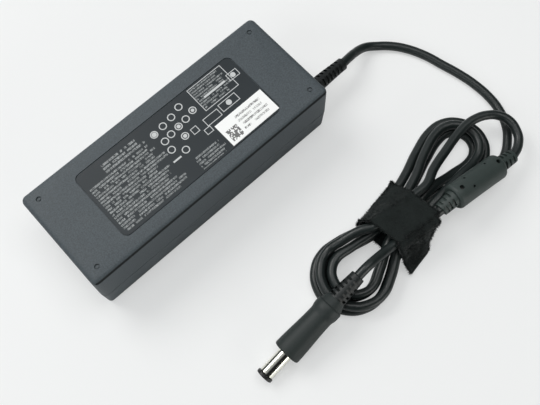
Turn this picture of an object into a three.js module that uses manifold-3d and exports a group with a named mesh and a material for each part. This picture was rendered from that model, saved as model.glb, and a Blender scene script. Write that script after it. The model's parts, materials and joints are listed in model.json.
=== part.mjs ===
// Laptop power adapter: a two-shell case round its circuit, an output cord tied in a hank,
// a ferrite bead and a barrel plug. Millimetres, +Z up.
// Origin: bottom centre of the case. +X: the end that the output cord leaves. -Y: the side of the hank.
import * as THREE from 'three';
import { mergeVertices } from 'three/addons/utils/BufferGeometryUtils.js';
import Module from 'manifold-3d';

const wasm = await Module();
wasm.setup();

// Case
const caseLength = 127;
const caseWidth = 50;
const caseHeight = 32;
const wall = 2.2;
const partingHeight = 13.4;
const cornerRadius = 2.6;
const cavityCornerRadius = 1.5;
const topFillet = 2.1;
const baseFillet = 0.9;
const baseTaper = 0.78;
const seamGap = 0.3;
const lipHeight = 2.2;
const lipWall = 0.85;
const fitGap = 0.3;
const overrun = 1;
const cornerSteps = 6;
const filletSteps = 4;
const roundSides = 24;

// Marks moulded into the top
const dimpleInsetX = 6;
const dimpleInsetY = 5.7;
const dimpleRadius = 1.25;
const dimpleDepth = 0.55;
const nubRadius = 0.55;
const nubHeight = 0.35;

// Label in its recess, and a paper sticker on it
const labelBack = -41.9;
const labelFront = 43;
const labelRight = -18;
const labelLeft = 17.2;
const labelRecess = 0.5;
const labelThickness = 0.4;
const labelCornerRadius = 3;
const labelClearance = 0.35;
const stickerLength = 25.7;
const stickerWidth = 12.2;
const stickerThickness = 0.15;
const stickerX = 29.3;
const stickerY = -10.8;
const stickerTurn = THREE.MathUtils.degToRad(0.35);

// Circuit board on four bosses
const bossShares = [0.881, 0.789];
const bossRadius = 2.5;
const boardBottom = 5;
const boardThickness = 1.6;
const boardClearance = 1.1;
const shieldThickness = 0.3;
const sheetThickness = 0.4;
const shieldMargin = 1;

// Mains inlet
const inletDepth = 15;
const inletFlangeDepth = 2;
const inletCavityDepth = 12;
const inletHeightShare = 0.6897;
const inletShares = {
  width: 1.3125, flange: 0.0938, lobe: 0.2563, lowerLobeY: 0.275, lowerLobeDrop: 0.1125,
  upperLobeRise: 0.2, coreHalfWidth: 0.3125, coreDrop: 0.275, coreRise: 0.1625, pin: 0.075,
};
const pinSides = 12;
const pinRecess = 4.8;
const pinTail = 2.4;
const pinTailSize = 1;

// Circuit: places and sizes as shares of the space over the board. x runs from the inlet's back to the
// cavity's far end and y from the middle across it, heights go up from the board, and radii are shares
// of the space's least reach.
const leastReachShares = { length: 0.4153, height: 1.9655 };
const fuseShares = { x: 0.0455, y: -0.3728, radius: 0.0877, height: 0.3448 };
const filmCapShares = { x: 0.082, y: 0.0877, length: 0.0729, width: 0.3947, height: 0.6034 };
const chokeShares = { x: 0.2213, y: 0.2193, radius: 0.2105, height: 0.3879 };
const chokeBoreShare = 0.4375;
const chokeWindingShare = 0.146;
const chokeWindowShare = 0.52;
const plateThickness = 1.6;
const coldPlateShares = { x: 0.3506, y: -0.4605, length: 0.4007, height: 0.8793 };
const outputPlateShares = { x: 0.8242, y: 0.4715, length: 0.2914, height: 0.8793 };
const bridgeShares = { x: 0.2596, length: 0.1821, width: 0.0833, height: 0.5172 };
const bridgeLegShares = [-0.375, -0.125, 0.125, 0.375];
const switchShares = { x: 0.469, length: 0.0929, width: 0.0987, height: 0.6681 };
const rectifierShares = { x: 0.9235, length: 0.0929, width: 0.0987, height: 0.6681 };
const switchLegShares = [-0.25, 0, 0.25];
const legRiseShare = 0.1293;
const legWidth = 0.9;
const legThickness = 0.6;
const bulkShares = { x: 0.469, y: 0.2719, length: 0.2914, radius: 0.1974 };
const canGrooveShare = 0.08;
const canGrooveInsetShare = 0.38;
const transformerShares = { x: 0.7514, y: 0.0987, length: 0.2459, width: 0.5702, height: 0.8621 };
const coreHeightShare = 0.55;
const coreBackShare = 0.185;
const coreLegShare = 0.2;
const centreLegShare = 0.34;
const outputCapShares = [
  { x: 0.9281, y: -0.0526, radius: 0.1096, height: 0.7328 },
  { x: 0.9281, y: 0.1798, radius: 0.1096, height: 0.7328 },
  { x: 0.8424, y: -0.3377, radius: 0.1096, height: 0.7328 },
];
const outputChokeShares = { x: 0.7377, y: -0.3509, radius: 0.1316, height: 0.431 };
const drumFlangeShare = 0.15;
const drumWaistShare = 0.183;
const discCapShares = { x: 0.5692, y: -0.2632, radius: 0.0921, width: 0.0658 };
const couplerShares = { x: 0.5692, y: -0.0658, length: 0.0419, width: 0.1404, height: 0.1466 };
const couplerLegShares = [-0.25, 0.25];
const chipShares = { x: 0.469, y: -0.1754, length: 0.0455, width: 0.0877, height: 0.069 };
const chipLeadShare = 0.275;
const chipPitchShare = 0.254;
const chipLeads = 4;
const chipLift = 0.2;

// Output cord and the strain relief in the case's end
const cordDiameter = 4.2;
const cordRadius = cordDiameter / 2;
const cordSides = 10;
const cordStepDiameters = 2.5;
const floorGap = 0.05;
const cordFloor = cordRadius + floorGap;
const reliefY = -12.8;
const reliefBend = [12.5, 0.5, -1.1];
const reliefTip = [22.5, 0.9, -2.5];
const reliefNeckRadius = 3.5;
const reliefFlangeRadius = 5;
const reliefFlangeThickness = 2.1;
const reliefCollarRadius = 4.3;
const reliefCollarThickness = 1.3;
const reliefRootRadius = 3.7;
const reliefEndRadius = 3.0;
const reliefEndBand = 2.4;
const reliefSides = 20;
const slotPitch = 1.95;
const slotLength = 1;
const slotFloor = 0.45;
const slotTangentShare = 1.25;
const reliefSlots = 10;
const wireRadius = 0.9;
const wireSides = 8;
const wireSpread = 1.5;
const wireReach = 3.4;

// Hank: its own frame is placed from the case's end and the strain relief, and turned by hankTurn;
// s runs along it, t across, z up
const hankFromEnd = -11.5;
const hankFromRelief = -67.6;
const hankTurn = THREE.MathUtils.degToRad(8.3);
const hankPitch = 4.9;
const eyeExtraPitch = 0.4;
const waistHigh = 7;
const waistLow = -9;
const nearWaistExtra = 1.5;
const upperEyeS = 45.6;
const lowerEyeS = -30.6;
const upperOuterRadius = 13.8;
const lowerOuterRadius = 15.7;
const strapLift = 2.05;
const turningSpreadShare = 0.1;
const arcSteps = 6;
const loopCount = 4;
const upperRunShares = [0.32, 0.68];
const lowerRunShares = [0.66];
const upperEyes = [[0, -1, -1], [0.1, -0.9, -1], [-1.9, -1.6, -1], [0, 0, 0]];
const lowerEyes = [[0.3, -1.2, -0.2], [0.2, -0.2, -0.1], [0.7, -0.2, -1.2], [0.9, -0.1, -1.4]];
const hankSides = 6;
const roundingMargin = 1e-9;
const hankStartS = 18;
const lastClimb = [[-24, 11, 10.1], [-17, 7.8, 12.6], [-11, 3.6, 13.9], [0, 1.2, 14], [11, -1, 13.9]];
const hankEnd = [18, -2.2, 13.6];
const squareRun = cordDiameter;
const shortRun = cordRadius;

// Cord routes in the hank's frame, chosen by hand
const leadRoute = [
  [49.1, 62.9, 9.3], [53.7, 63.0, 7.2], [58.3, 62.6, 5.1], [62.0, 61.3, 3.5], [65.3, 58.6, 2.6],
  [69.3, 54.2, 2.15], [73.0, 47.5, 2.15], [75.9, 37.5, 2.15], [76.8, 28.9, 2.15], [77.7, 19.6, 2.15],
  [77.7, 10.4, 2.15], [76.2, 1.0, 2.15], [73.9, -5.2, 2.15], [69.2, -12.3, 2.15], [63.9, -16.6, 2.15],
  [56.2, -20.1, 2.15], [46.0, -20.8, 2.15], [36.0, -19.0, 2.4], [26.5, -15.2, 3.2],
];
const loopRoute = [
  [26.1, -0.3, 12.8], [37.0, 0.7, 12.0], [47.1, 1.2, 11.7], [52.5, 0.9, 11.7], [58.0, -0.6, 11.7],
  [62.9, -3.6, 11.5], [66.2, -7.6, 11.0], [67.3, -12.6, 10.6], [65.5, -17.7, 10.1], [61.7, -21.6, 9.7],
];
const plugRoute = [
  [7.4, -12.8, 15.1], [3.2, -11.3, 14.6], [-2.0, -9.6, 14.0], [-9.0, -8.2, 13.9], [-16.0, -6.8, 14.5],
  [-22.0, -5.8, 16.2], [-28.4, -4.9, 17.8],
];

// Ferrite bead: rail through it from the left cord end to the right one, in the hank's frame
const beadRail = [
  [11.4, -13.8, 15.7], [14.8, -14.1, 16.3], [18.6, -14.9, 16.7],
  [45.6, -21.1, 11.1], [49.6, -22.3, 10.2], [54.2, -23.3, 9.8],
];
const beadRadius = 5.75;
const beadEndRadius = 5.1;
const beadShoulder = 0.9;
const beadReliefRadius = 3.75;
const beadReliefEnd = 3.15;
const ferriteRadius = 4.15;
const ferriteLength = 21;
const beadSides = 24;
const beadRings = 3;
const ringFirst = 0.75;
const ringRunOut = 0.5;
const ringGroove = 0.85;
const ringDepth = 0.6;
const beadHoleRadius = 0.8;
const beadHoleDepth = 1.3;
const beadHoleShares = [[-0.4, 90], [0.36, 82], [0.2, 128], [-0.27, 138], [-0.15, 62]];

// Plug: axis from its tip to the end of its relief, in the hank's frame
const plugTip = [-88.5, 1.3, 3.82];
const plugRear = [-33.8, -4.3, 17];
const plugSides = 24;
const tipRingRadius = 3.72;
const tipRingLength = 1.4;
const barrelRadius = 3.15;
const barrelBore = 2.5;
const barrelShown = 11.9;
const barrelHidden = 8;
const bodyLength = 30.2;
const bodyFrontRadius = 6.15;
const waistRadius = 5.35;
const flareLength = 3.2;
const bodyRounding = 0.7;
const collarLength = 2.6;
const collarRadius = 5.9;
const shoulderLength = 3.7;
const shoulderRadius = 4.15;
const plugReliefRoot = 4.05;
const plugReliefTip = 3.15;
const plugReliefSlots = 5;
const plugSlotPitch = 2.2;
const plugSlotStart = 1.2;
const contactLength = 5;
const centrePinRadius = 0.45;
const centrePinRecess = 2.2;

// Strap: wraps all the strands at the waist, its tail lies over the near side
const strapThickness = 1.3;
const strapGap = 0.3;
const strapStart = -12.8;
const strapEnd = 9;
const strapFlare = 2.5;
const strapDirections = 32;
const tailStart = -14.4;
const tailEnd = 1.5;
const tailTopStep = 13;
const tailSideStep = 15;
const tailFlare = 2.6;
const tailFloor = 0.35;
const topStrandAtStart = [5.9, 13.5];
const topStrandAtEnd = [-0.5, 14];
const plugCordAtStart = [-7.3, 14.3];
const plugCordAtEnd = [-13.2, 15.4];

// Values that follow from the sizes above
const boardTop = boardBottom + boardThickness;
const halfLength = caseLength / 2;
const halfWidth = caseWidth / 2;
const cavityHalfLength = halfLength - wall;
const cavityHalfWidth = halfWidth - wall;
const ceiling = caseHeight - wall;
const bossX = bossShares[0] * cavityHalfLength;
const bossY = bossShares[1] * cavityHalfWidth;
const spaceStart = -halfLength + inletDepth;
const spaceLength = cavityHalfLength - spaceStart;
const spaceWidth = 2 * cavityHalfWidth;
const spaceHeight = ceiling - boardTop;
const leastReach = Math.min(
  spaceWidth, spaceLength * leastReachShares.length, spaceHeight * leastReachShares.height);
const inletHeight = inletHeightShare * spaceHeight;
const inletWidth = inletShares.width * inletHeight;
const inletFlange = inletShares.flange * inletHeight;
const lobeRadius = inletShares.lobe * inletHeight;
const lowerLobeY = inletShares.lowerLobeY * inletHeight;
const lowerLobeDrop = inletShares.lowerLobeDrop * inletHeight;
const upperLobeRise = inletShares.upperLobeRise * inletHeight;
const coreHalfWidth = inletShares.coreHalfWidth * inletHeight;
const coreDrop = inletShares.coreDrop * inletHeight;
const coreRise = inletShares.coreRise * inletHeight;
const pinRadius = inletShares.pin * inletHeight;
const inletCentreZ = boardTop + inletFlange + inletHeight / 2;
const hankX = halfLength + hankFromEnd;
const hankY = reliefY + hankFromRelief;
const hankHalfPitch = hankPitch / 2;

const colours = {
  case: 0x4f5559, label: 0x3a3d40, sticker: 0xf2f2ee, plastic: 0x262a2a, cord: 0x2b2f2f,
  board: 0x2f6b3c, metal: 0xb9bcbd, chrome: 0xd8d8d2, brass: 0xb08d4a, ferrite: 0x34302e,
  copper: 0xa8643a, sleeve: 0x1f2b4a, yellow: 0xc9a93a, blue: 0x33598c, film: 0xe0d8c0,
  strap: 0x1c2020, wireRed: 0x9a2b22, wireBlack: 0x161616,
};

// Solids and meshes
function solidOf(geometry) {
  const bare = geometry.clone();
  bare.deleteAttribute('normal');
  bare.deleteAttribute('uv');
  const merged = mergeVertices(bare);
  return new wasm.Manifold(new wasm.Mesh({
    numProp: 3,
    vertProperties: Float32Array.from(merged.attributes.position.array),
    triVerts: Uint32Array.from(merged.index.array),
  }));
}

function geometryOf(solid) {
  const mesh = solid.getMesh();
  const geometry = new THREE.BufferGeometry();
  geometry.setAttribute('position', new THREE.BufferAttribute(Float32Array.from(mesh.vertProperties), 3));
  geometry.setIndex(Array.from(mesh.triVerts));
  geometry.computeVertexNormals();
  return geometry;
}

function cut(geometry, ...tools) {
  let solid = solidOf(geometry);
  for (const tool of tools) solid = solid.subtract(solidOf(tool));
  return geometryOf(solid);
}

function join(geometry, ...others) {
  let solid = solidOf(geometry);
  for (const other of others) solid = solid.add(solidOf(other));
  return geometryOf(solid);
}

function block(x0, x1, y0, y1, z0, z1) {
  const box = new THREE.BoxGeometry(x1 - x0, y1 - y0, z1 - z0);
  return box.translate((x0 + x1) / 2, (y0 + y1) / 2, (z0 + z1) / 2);
}

// A block that stands with its base's centre at x, y, bottom
function standing(x, y, bottom, length, width, height) {
  return block(x - length / 2, x + length / 2, y - width / 2, y + width / 2, bottom, bottom + height);
}

function pillar(x, y, bottom, radius, height, sides = roundSides) {
  const rod = new THREE.CylinderGeometry(radius, radius, height, sides);
  return rod.rotateX(Math.PI / 2).translate(x, y, bottom + height / 2);
}

function rodAlongX(x0, x1, y, z, radius, sides = roundSides) {
  const rod = new THREE.CylinderGeometry(radius, radius, x1 - x0, sides);
  return rod.rotateZ(Math.PI / 2).translate((x0 + x1) / 2, y, z);
}

function rodAlongY(y0, y1, x, z, radius, sides = roundSides) {
  const rod = new THREE.CylinderGeometry(radius, radius, y1 - y0, sides);
  return rod.translate(x, (y0 + y1) / 2, z);
}

// A closed turned shape about +Z from [radius, height] pairs that start and end on the axis or close
function turned(profile, sides = roundSides) {
  const points = profile.map(([radius, height]) => new THREE.Vector2(radius, height));
  return new THREE.LatheGeometry(points, sides).rotateX(Math.PI / 2);
}

// Closed skin through rings of equal count, each convex and turning the same way round the path
function loft(rings) {
  const count = rings[0].length;
  const positions = rings.flat().flatMap((point) => point.toArray());
  const index = [];
  for (let i = 0; i < rings.length - 1; i += 1) {
    for (let j = 0; j < count; j += 1) {
      const a = i * count + j;
      const b = i * count + (j + 1) % count;
      index.push(a, b, a + count, b, b + count, a + count);
    }
  }
  const ends = [[rings[0], 0, -1], [rings[rings.length - 1], (rings.length - 1) * count, 1]];
  for (const [ring, first, facing] of ends) {
    const centre = new THREE.Vector3();
    ring.forEach((point) => centre.addScaledVector(point, 1 / count));
    const hub = positions.length / 3;
    positions.push(...centre.toArray());
    for (let j = 0; j < count; j += 1) {
      const here = first + j;
      const next = first + (j + 1) % count;
      if (facing > 0) index.push(hub, here, next);
      else index.push(hub, next, here);
    }
  }
  const geometry = new THREE.BufferGeometry();
  geometry.setAttribute('position', new THREE.Float32BufferAttribute(positions, 3));
  geometry.setIndex(index);
  geometry.computeVertexNormals();
  return geometry;
}

// Rounded rectangle at height z, its edge drawn in by inset
function outline(length, width, radius, inset, z) {
  const round = Math.max(radius - inset, fitGap);
  const reachX = length / 2 - inset - round;
  const reachY = width / 2 - inset - round;
  const corners = [[1, 1, 0], [-1, 1, 1], [-1, -1, 2], [1, -1, 3]];
  return corners.flatMap(([sideX, sideY, quarter]) => Array.from({ length: cornerSteps + 1 }, (_, k) => {
    const angle = (quarter + k / cornerSteps) * Math.PI / 2;
    return new THREE.Vector3(
      sideX * reachX + round * Math.cos(angle), sideY * reachY + round * Math.sin(angle), z);
  }));
}

// A rail is a list of points; places on it are given by the distance from its start
function railLength(rail) {
  return rail.slice(1).reduce((sum, point, i) => sum + point.distanceTo(rail[i]), 0);
}

function railPoint(rail, distance) {
  let left = distance;
  for (let i = 1; i < rail.length; i += 1) {
    const length = rail[i].distanceTo(rail[i - 1]);
    if (left <= length || i === rail.length - 1) return rail[i - 1].clone().lerp(rail[i], left / length);
    left -= length;
  }
  return rail[0].clone();
}

function railFrame(rail, distance) {
  const total = railLength(rail);
  const before = railPoint(rail, Math.max(distance - fitGap, 0));
  const after = railPoint(rail, Math.min(distance + fitGap, total));
  return frameAlong(after.sub(before).normalize());
}

// Side and up directions square to a direction that isn't upright
function frameAlong(along) {
  const side = new THREE.Vector3(0, 0, 1).cross(along).normalize();
  return { along, side, up: along.clone().cross(side) };
}

function ringAt(point, frame, radius, sides) {
  return Array.from({ length: sides }, (_, j) => {
    const angle = (j + 0.5) * 2 * Math.PI / sides;
    return point.clone()
      .addScaledVector(frame.side, radius * Math.cos(angle))
      .addScaledVector(frame.up, radius * Math.sin(angle));
  });
}

// A round skin along a rail from [distance, radius] stations
function sweep(rail, stations, sides) {
  return loft(stations.map(([distance, radius]) => (
    ringAt(railPoint(rail, distance), railFrame(rail, distance), radius, sides))));
}

// Moves a shape made round the origin, its X along a rail, to a distance along that rail
function onRail(geometry, rail, distance, roll) {
  const frame = railFrame(rail, distance);
  const turn = new THREE.Matrix4().makeBasis(frame.along, frame.side, frame.up);
  return geometry.rotateX(roll).applyMatrix4(turn).translate(...railPoint(rail, distance).toArray());
}

// Slots of a strain relief: two opposite ones a step, turned a quarter at each next step
function reliefCuts(rail, start, pitch, count, outer) {
  const cuts = [];
  for (let i = 0; i < count; i += 1) {
    for (const side of [0, 1]) {
      const roll = (0.25 + 0.5 * (i % 2) + side) * Math.PI;
      const depth = outer - cordRadius - slotFloor;
      const slot = new THREE.BoxGeometry(slotLength, 2 * depth, outer * slotTangentShare);
      slot.translate(0, outer, 0);
      cuts.push(onRail(slot, rail, start + i * pitch, roll));
    }
  }
  return cuts;
}

function vectors(points) {
  return points.map((point) => new THREE.Vector3(...point));
}

function sectionShape(radius, sides) {
  const points = Array.from({ length: sides }, (_, j) => {
    const angle = (j + 0.5) * 2 * Math.PI / sides;
    return new THREE.Vector2(radius * Math.cos(angle), radius * Math.sin(angle));
  });
  return new THREE.Shape(points);
}

// A round tube through route points
function cordTube(points, radius = cordRadius, sides = cordSides) {
  const path = new THREE.CatmullRomCurve3(points, false, 'centripetal');
  const steps = Math.ceil(path.getLength() / (cordStepDiameters * 2 * radius));
  return new THREE.ExtrudeGeometry(sectionShape(radius, sides), { steps, extrudePath: path });
}

function mesh(name, geometry, colour, roughness = 0.6, metalness = 0) {
  const material = new THREE.MeshStandardMaterial({ color: colour, roughness, metalness });
  const node = new THREE.Mesh(geometry, material);
  node.name = name;
  return node;
}

const adapter = new THREE.Group();
const hank = new THREE.Group();
hank.position.set(hankX, hankY, 0);
hank.rotation.z = hankTurn;
adapter.add(hank);

function toHank(point) {
  const placed = new THREE.Vector3(point.x - hankX, point.y - hankY, point.z);
  return placed.applyAxisAngle(new THREE.Vector3(0, 0, 1), -hankTurn);
}

// Case shells: openings that both share
const reliefRail = vectors([
  [cavityHalfLength - fitGap - reliefFlangeThickness, reliefY, partingHeight],
  [halfLength + reliefCollarThickness + fitGap, reliefY, partingHeight],
  [halfLength + reliefBend[0], reliefY + reliefBend[1], partingHeight + reliefBend[2]],
  [halfLength + reliefTip[0], reliefY + reliefTip[1], partingHeight + reliefTip[2]],
]);

function inletOpening() {
  return block(
    -halfLength - overrun, -cavityHalfLength + overrun,
    -inletWidth / 2 - fitGap, inletWidth / 2 + fitGap,
    inletCentreZ - inletHeight / 2 - fitGap, inletCentreZ + inletHeight / 2 + fitGap);
}

function reliefOpening() {
  return rodAlongX(
    cavityHalfLength - overrun - lipWall, halfLength + overrun,
    reliefY, partingHeight, reliefNeckRadius + fitGap);
}

function cavity(inset, radius, z0, z1) {
  return loft([
    outline(caseLength, caseWidth, radius + inset, inset, z0),
    outline(caseLength, caseWidth, radius + inset, inset, z1),
  ]);
}

function bottomCover() {
  const rings = [];
  for (let k = 0; k <= filletSteps; k += 1) {
    const angle = k / filletSteps * Math.PI / 2;
    const inset = baseTaper + baseFillet * (1 - Math.sin(angle));
    rings.push(outline(caseLength, caseWidth, cornerRadius, inset, baseFillet * (1 - Math.cos(angle))));
  }
  rings.push(outline(caseLength, caseWidth, cornerRadius, 0, partingHeight - seamGap));
  let shell = cut(
    loft(rings),
    cavity(wall, cavityCornerRadius, wall, partingHeight + overrun),
    cavity(wall - lipWall - fitGap, cavityCornerRadius, partingHeight - lipHeight, partingHeight + overrun));
  for (const sideX of [-1, 1]) {
    for (const sideY of [-1, 1]) {
      const boss = pillar(sideX * bossX, sideY * bossY, wall / 2, bossRadius, boardBottom - wall / 2);
      shell = join(shell, boss);
    }
  }
  return cut(shell, inletOpening(), reliefOpening());
}

function topCover() {
  const rings = [outline(caseLength, caseWidth, cornerRadius, 0, partingHeight)];
  for (let k = 0; k <= filletSteps; k += 1) {
    const angle = k / filletSteps * Math.PI / 2;
    const z = caseHeight - topFillet * (1 - Math.sin(angle));
    rings.push(outline(caseLength, caseWidth, cornerRadius, topFillet * (1 - Math.cos(angle)), z));
  }
  const lip = cavity(wall - lipWall, cavityCornerRadius, partingHeight - lipHeight, partingHeight + overrun);
  const shell = cut(
    join(loft(rings), lip),
    cavity(wall, cavityCornerRadius, partingHeight - lipHeight - overrun, ceiling),
    labelRecessBlock(), inletOpening(), reliefOpening(), ...dimples());
  return shell;
}

function labelOutline(inset, z) {
  const length = labelFront - labelBack;
  const width = labelLeft - labelRight;
  const ring = outline(length, width, labelCornerRadius, inset, z);
  const shift = new THREE.Vector3((labelFront + labelBack) / 2, (labelLeft + labelRight) / 2, 0);
  return ring.map((point) => point.add(shift));
}

function labelRecessBlock() {
  return loft([labelOutline(0, caseHeight - labelRecess), labelOutline(0, caseHeight + overrun)]);
}

// Each dimple is a round pit with a low nub left in its middle
function dimples() {
  const pits = [];
  for (const sideX of [-1, 1]) {
    for (const sideY of [-1, 1]) {
      const pit = turned([
        [0, nubHeight - dimpleDepth], [nubRadius, nubHeight - dimpleDepth], [nubRadius, -dimpleDepth],
        [dimpleRadius, -dimpleDepth], [dimpleRadius, overrun], [0, overrun],
      ], pinSides);
      pits.push(pit.translate(
        sideX * (halfLength - dimpleInsetX), sideY * (halfWidth - dimpleInsetY), caseHeight));
    }
  }
  return pits;
}

function ratingLabel() {
  const bottom = caseHeight - labelRecess;
  return loft([labelOutline(labelClearance, bottom), labelOutline(labelClearance, bottom + labelThickness)]);
}

function shieldSheet(bottom, thickness) {
  const reach = bossX - bossRadius - shieldMargin;
  const side = cavityHalfWidth - shieldMargin;
  return block(-reach, reach, -side, side, bottom, bottom + thickness);
}

// Mains inlet with its three-lobed socket
function acInlet() {
  const back = -halfLength + inletDepth;
  const flangeX = -cavityHalfLength;
  const half = inletHeight / 2;
  const body = join(
    block(-halfLength, back, -inletWidth / 2, inletWidth / 2, inletCentreZ - half, inletCentreZ + half),
    block(
      flangeX, flangeX + inletFlangeDepth,
      -inletWidth / 2 - inletFlange, inletWidth / 2 + inletFlange,
      inletCentreZ - half - inletFlange, inletCentreZ + half + inletFlange));
  const mouth = -halfLength - overrun;
  const floor = -halfLength + inletCavityDepth;
  const socket = [
    rodAlongX(mouth, floor, -lowerLobeY, inletCentreZ - lowerLobeDrop, lobeRadius),
    rodAlongX(mouth, floor, lowerLobeY, inletCentreZ - lowerLobeDrop, lobeRadius),
    rodAlongX(mouth, floor, 0, inletCentreZ + upperLobeRise, lobeRadius),
    block(mouth, floor, -coreHalfWidth, coreHalfWidth, inletCentreZ - coreDrop, inletCentreZ + coreRise),
  ];
  const bores = inletPins.map(([, y, z]) => (
    rodAlongX(floor - overrun, back + overrun, y, z, pinRadius + fitGap, pinSides)));
  return cut(body, ...socket, ...bores);
}

const inletPins = [
  ['inlet_pin_line', -lowerLobeY, inletCentreZ - lowerLobeDrop],
  ['inlet_pin_neutral', lowerLobeY, inletCentreZ - lowerLobeDrop],
  ['inlet_pin_earth', 0, inletCentreZ + upperLobeRise],
];

function inletPin(y, z) {
  const tip = -halfLength + pinRecess;
  const back = -halfLength + inletDepth + pinTail;
  return join(
    rodAlongX(tip, back, y, z, pinRadius, pinSides),
    block(back - pinTailSize, back, y - pinTailSize / 2, y + pinTailSize / 2, boardTop, z));
}

function addCase() {
  adapter.add(mesh('bottom_cover', bottomCover(), colours.case, 0.62));
  adapter.add(mesh('top_cover', topCover(), colours.case, 0.62));
  adapter.add(mesh('rating_label', ratingLabel(), colours.label, 0.45));
  const sticker = standing(0, 0, 0, stickerLength, stickerWidth, stickerThickness);
  const stickerNode = mesh('white_sticker', sticker, colours.sticker, 0.7);
  stickerNode.position.set(stickerX, stickerY, caseHeight - labelRecess + labelThickness);
  stickerNode.rotation.z = stickerTurn;
  adapter.add(stickerNode);
  adapter.add(mesh('bottom_shield', shieldSheet(wall, shieldThickness), colours.metal, 0.4, 1));
  const sheet = shieldSheet(wall + shieldThickness, sheetThickness);
  adapter.add(mesh('insulating_sheet', sheet, colours.film, 0.5));
  const topShield = shieldSheet(ceiling - shieldThickness, shieldThickness);
  adapter.add(mesh('top_shield', topShield, colours.metal, 0.4, 1));
  adapter.add(mesh('ac_inlet', acInlet(), colours.plastic, 0.5));
  for (const [name, y, z] of inletPins) adapter.add(mesh(name, inletPin(y, z), colours.brass, 0.3, 1));
}

// Circuit: lengths from a table of shares
function fitted({ x = 0, y = 0, length = 0, width = 0, height = 0, radius = 0 }) {
  return {
    x: spaceStart + x * spaceLength,
    y: y * spaceWidth,
    length: length * spaceLength,
    width: width * spaceWidth,
    height: height * spaceHeight,
    radius: radius * leastReach,
  };
}

function mainBoard() {
  const reachX = cavityHalfLength - boardClearance;
  const reachY = cavityHalfWidth - boardClearance;
  return block(-reachX, reachX, -reachY, reachY, boardBottom, boardTop);
}

function onBoard(shares) {
  const { x, y, length, width, height } = fitted(shares);
  return standing(x, y, boardTop, length, width, height);
}

function heatPlate(shares) {
  const { x, y, length, height } = fitted(shares);
  return standing(x, y, boardTop, length, plateThickness, height);
}

function fuse() {
  const { x, y, radius, height } = fitted(fuseShares);
  return pillar(x, y, boardTop, radius, height);
}

// Body of a package held up on legs, whose places are shares of its length and width
function legged(x, y, size, rise, legs) {
  const body = standing(x, y, boardTop + rise, size.length, size.width, size.height);
  const posts = legs.map(([legX, legY]) => (
    standing(x + legX * size.length, y + legY * (size.width - legThickness), boardTop,
      legWidth, legThickness, rise + legThickness)));
  return join(body, ...posts);
}

// Package on a row of legs, flat against a heat plate's side that faces the middle
function onPlate(plateShares, shares, legShares) {
  const size = fitted(shares);
  const plateY = fitted(plateShares).y;
  const inward = -Math.sign(plateY);
  const y = plateY + inward * (plateThickness + size.width) / 2;
  return legged(size.x, y, size, legRiseShare * spaceHeight, legShares.map((place) => [place, 0]));
}

function optocoupler() {
  const size = fitted(couplerShares);
  const legs = couplerLegShares.flatMap((place) => [-1, 1].map((side) => [place, side / 2]));
  return legged(size.x, size.y, size, legThickness, legs);
}

// Toroid: a ring core, and a winding shell that leaves a window where the core shows
function chokeCore() {
  const { x, y, radius, height } = fitted(chokeShares);
  const winding = radius * chokeWindingShare + fitGap;
  const inner = radius * chokeBoreShare + winding;
  const outer = radius - winding;
  const high = height - winding;
  const ring = turned([[inner, winding], [outer, winding], [outer, high], [inner, high], [inner, winding]]);
  return ring.translate(x, y, boardTop);
}

function chokeShell() {
  const { x, y, radius, height } = fitted(chokeShares);
  const winding = radius * chokeWindingShare;
  const bore = radius * chokeBoreShare;
  const inner = bore + winding;
  const outer = radius - winding;
  const high = height - winding;
  const halfWindow = radius * chokeWindowShare / 2;
  const shell = turned([[bore, 0], [radius, 0], [radius, height], [bore, height], [bore, 0]]);
  const hollow = turned([
    [inner, winding], [outer, winding], [outer, high], [inner, high], [inner, winding]]);
  const window = block(-radius - overrun, 0, -halfWindow, halfWindow, -overrun, height + overrun);
  return cut(shell, hollow, window).translate(x, y, boardTop);
}

// Can of an electrolytic capacitor about +Z: a groove near its base
function can(radius, height) {
  const groove = radius * canGrooveShare;
  const inset = radius * canGrooveInsetShare;
  return turned([
    [0, 0], [radius, 0], [radius, inset - groove], [radius - groove, inset],
    [radius, inset + groove], [radius, height - groove], [radius - groove, height], [0, height],
  ]);
}

function bulkCapacitor() {
  const { x, y, length, radius } = fitted(bulkShares);
  return can(radius, length).rotateY(Math.PI / 2).translate(x - length / 2, y, boardTop + radius + fitGap);
}

function transformerCore() {
  const { x, y, length, width, height } = fitted(transformerShares);
  const coreHeight = height * coreHeightShare;
  const bottom = boardTop + (height - coreHeight) / 2;
  const leg = width * coreLegShare;
  const centre = width * centreLegShare / 2;
  const windowX = length * (1 - 2 * coreBackShare) / 2;
  const core = standing(x, y, bottom, length, width, coreHeight);
  const windows = [-1, 1].map((side) => {
    const near = y + side * centre;
    const far = y + side * (width / 2 - leg);
    return block(
      x - windowX, x + windowX, Math.min(near, far), Math.max(near, far),
      bottom - overrun, bottom + coreHeight + overrun);
  });
  return cut(core, ...windows);
}

function transformerWinding() {
  const { x, y, length, width, height } = fitted(transformerShares);
  const coreHeight = height * coreHeightShare;
  const long = length * (1 - 2 * coreBackShare) - 2 * fitGap;
  const wide = width * (1 - 2 * coreLegShare) - 2 * fitGap;
  const bore = width * centreLegShare + 2 * fitGap;
  const body = standing(x, y, boardTop, long, wide, height);
  const hole = standing(
    x, y, boardTop + (height - coreHeight) / 2 - fitGap, long + 2 * overrun, bore, coreHeight + 2 * fitGap);
  return cut(body, hole);
}

function outputChoke() {
  const { x, y, radius, height } = fitted(outputChokeShares);
  const waist = radius * (1 - drumWaistShare);
  const flange = height * drumFlangeShare;
  return turned([
    [0, 0], [radius, 0], [radius, flange], [waist, flange],
    [waist, height - flange], [radius, height - flange], [radius, height], [0, height],
  ]).translate(x, y, boardTop);
}

function discCapacitor() {
  const { x, y, width, radius } = fitted(discCapShares);
  return rodAlongY(y - width / 2, y + width / 2, x, boardTop + radius + fitGap, radius);
}

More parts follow.
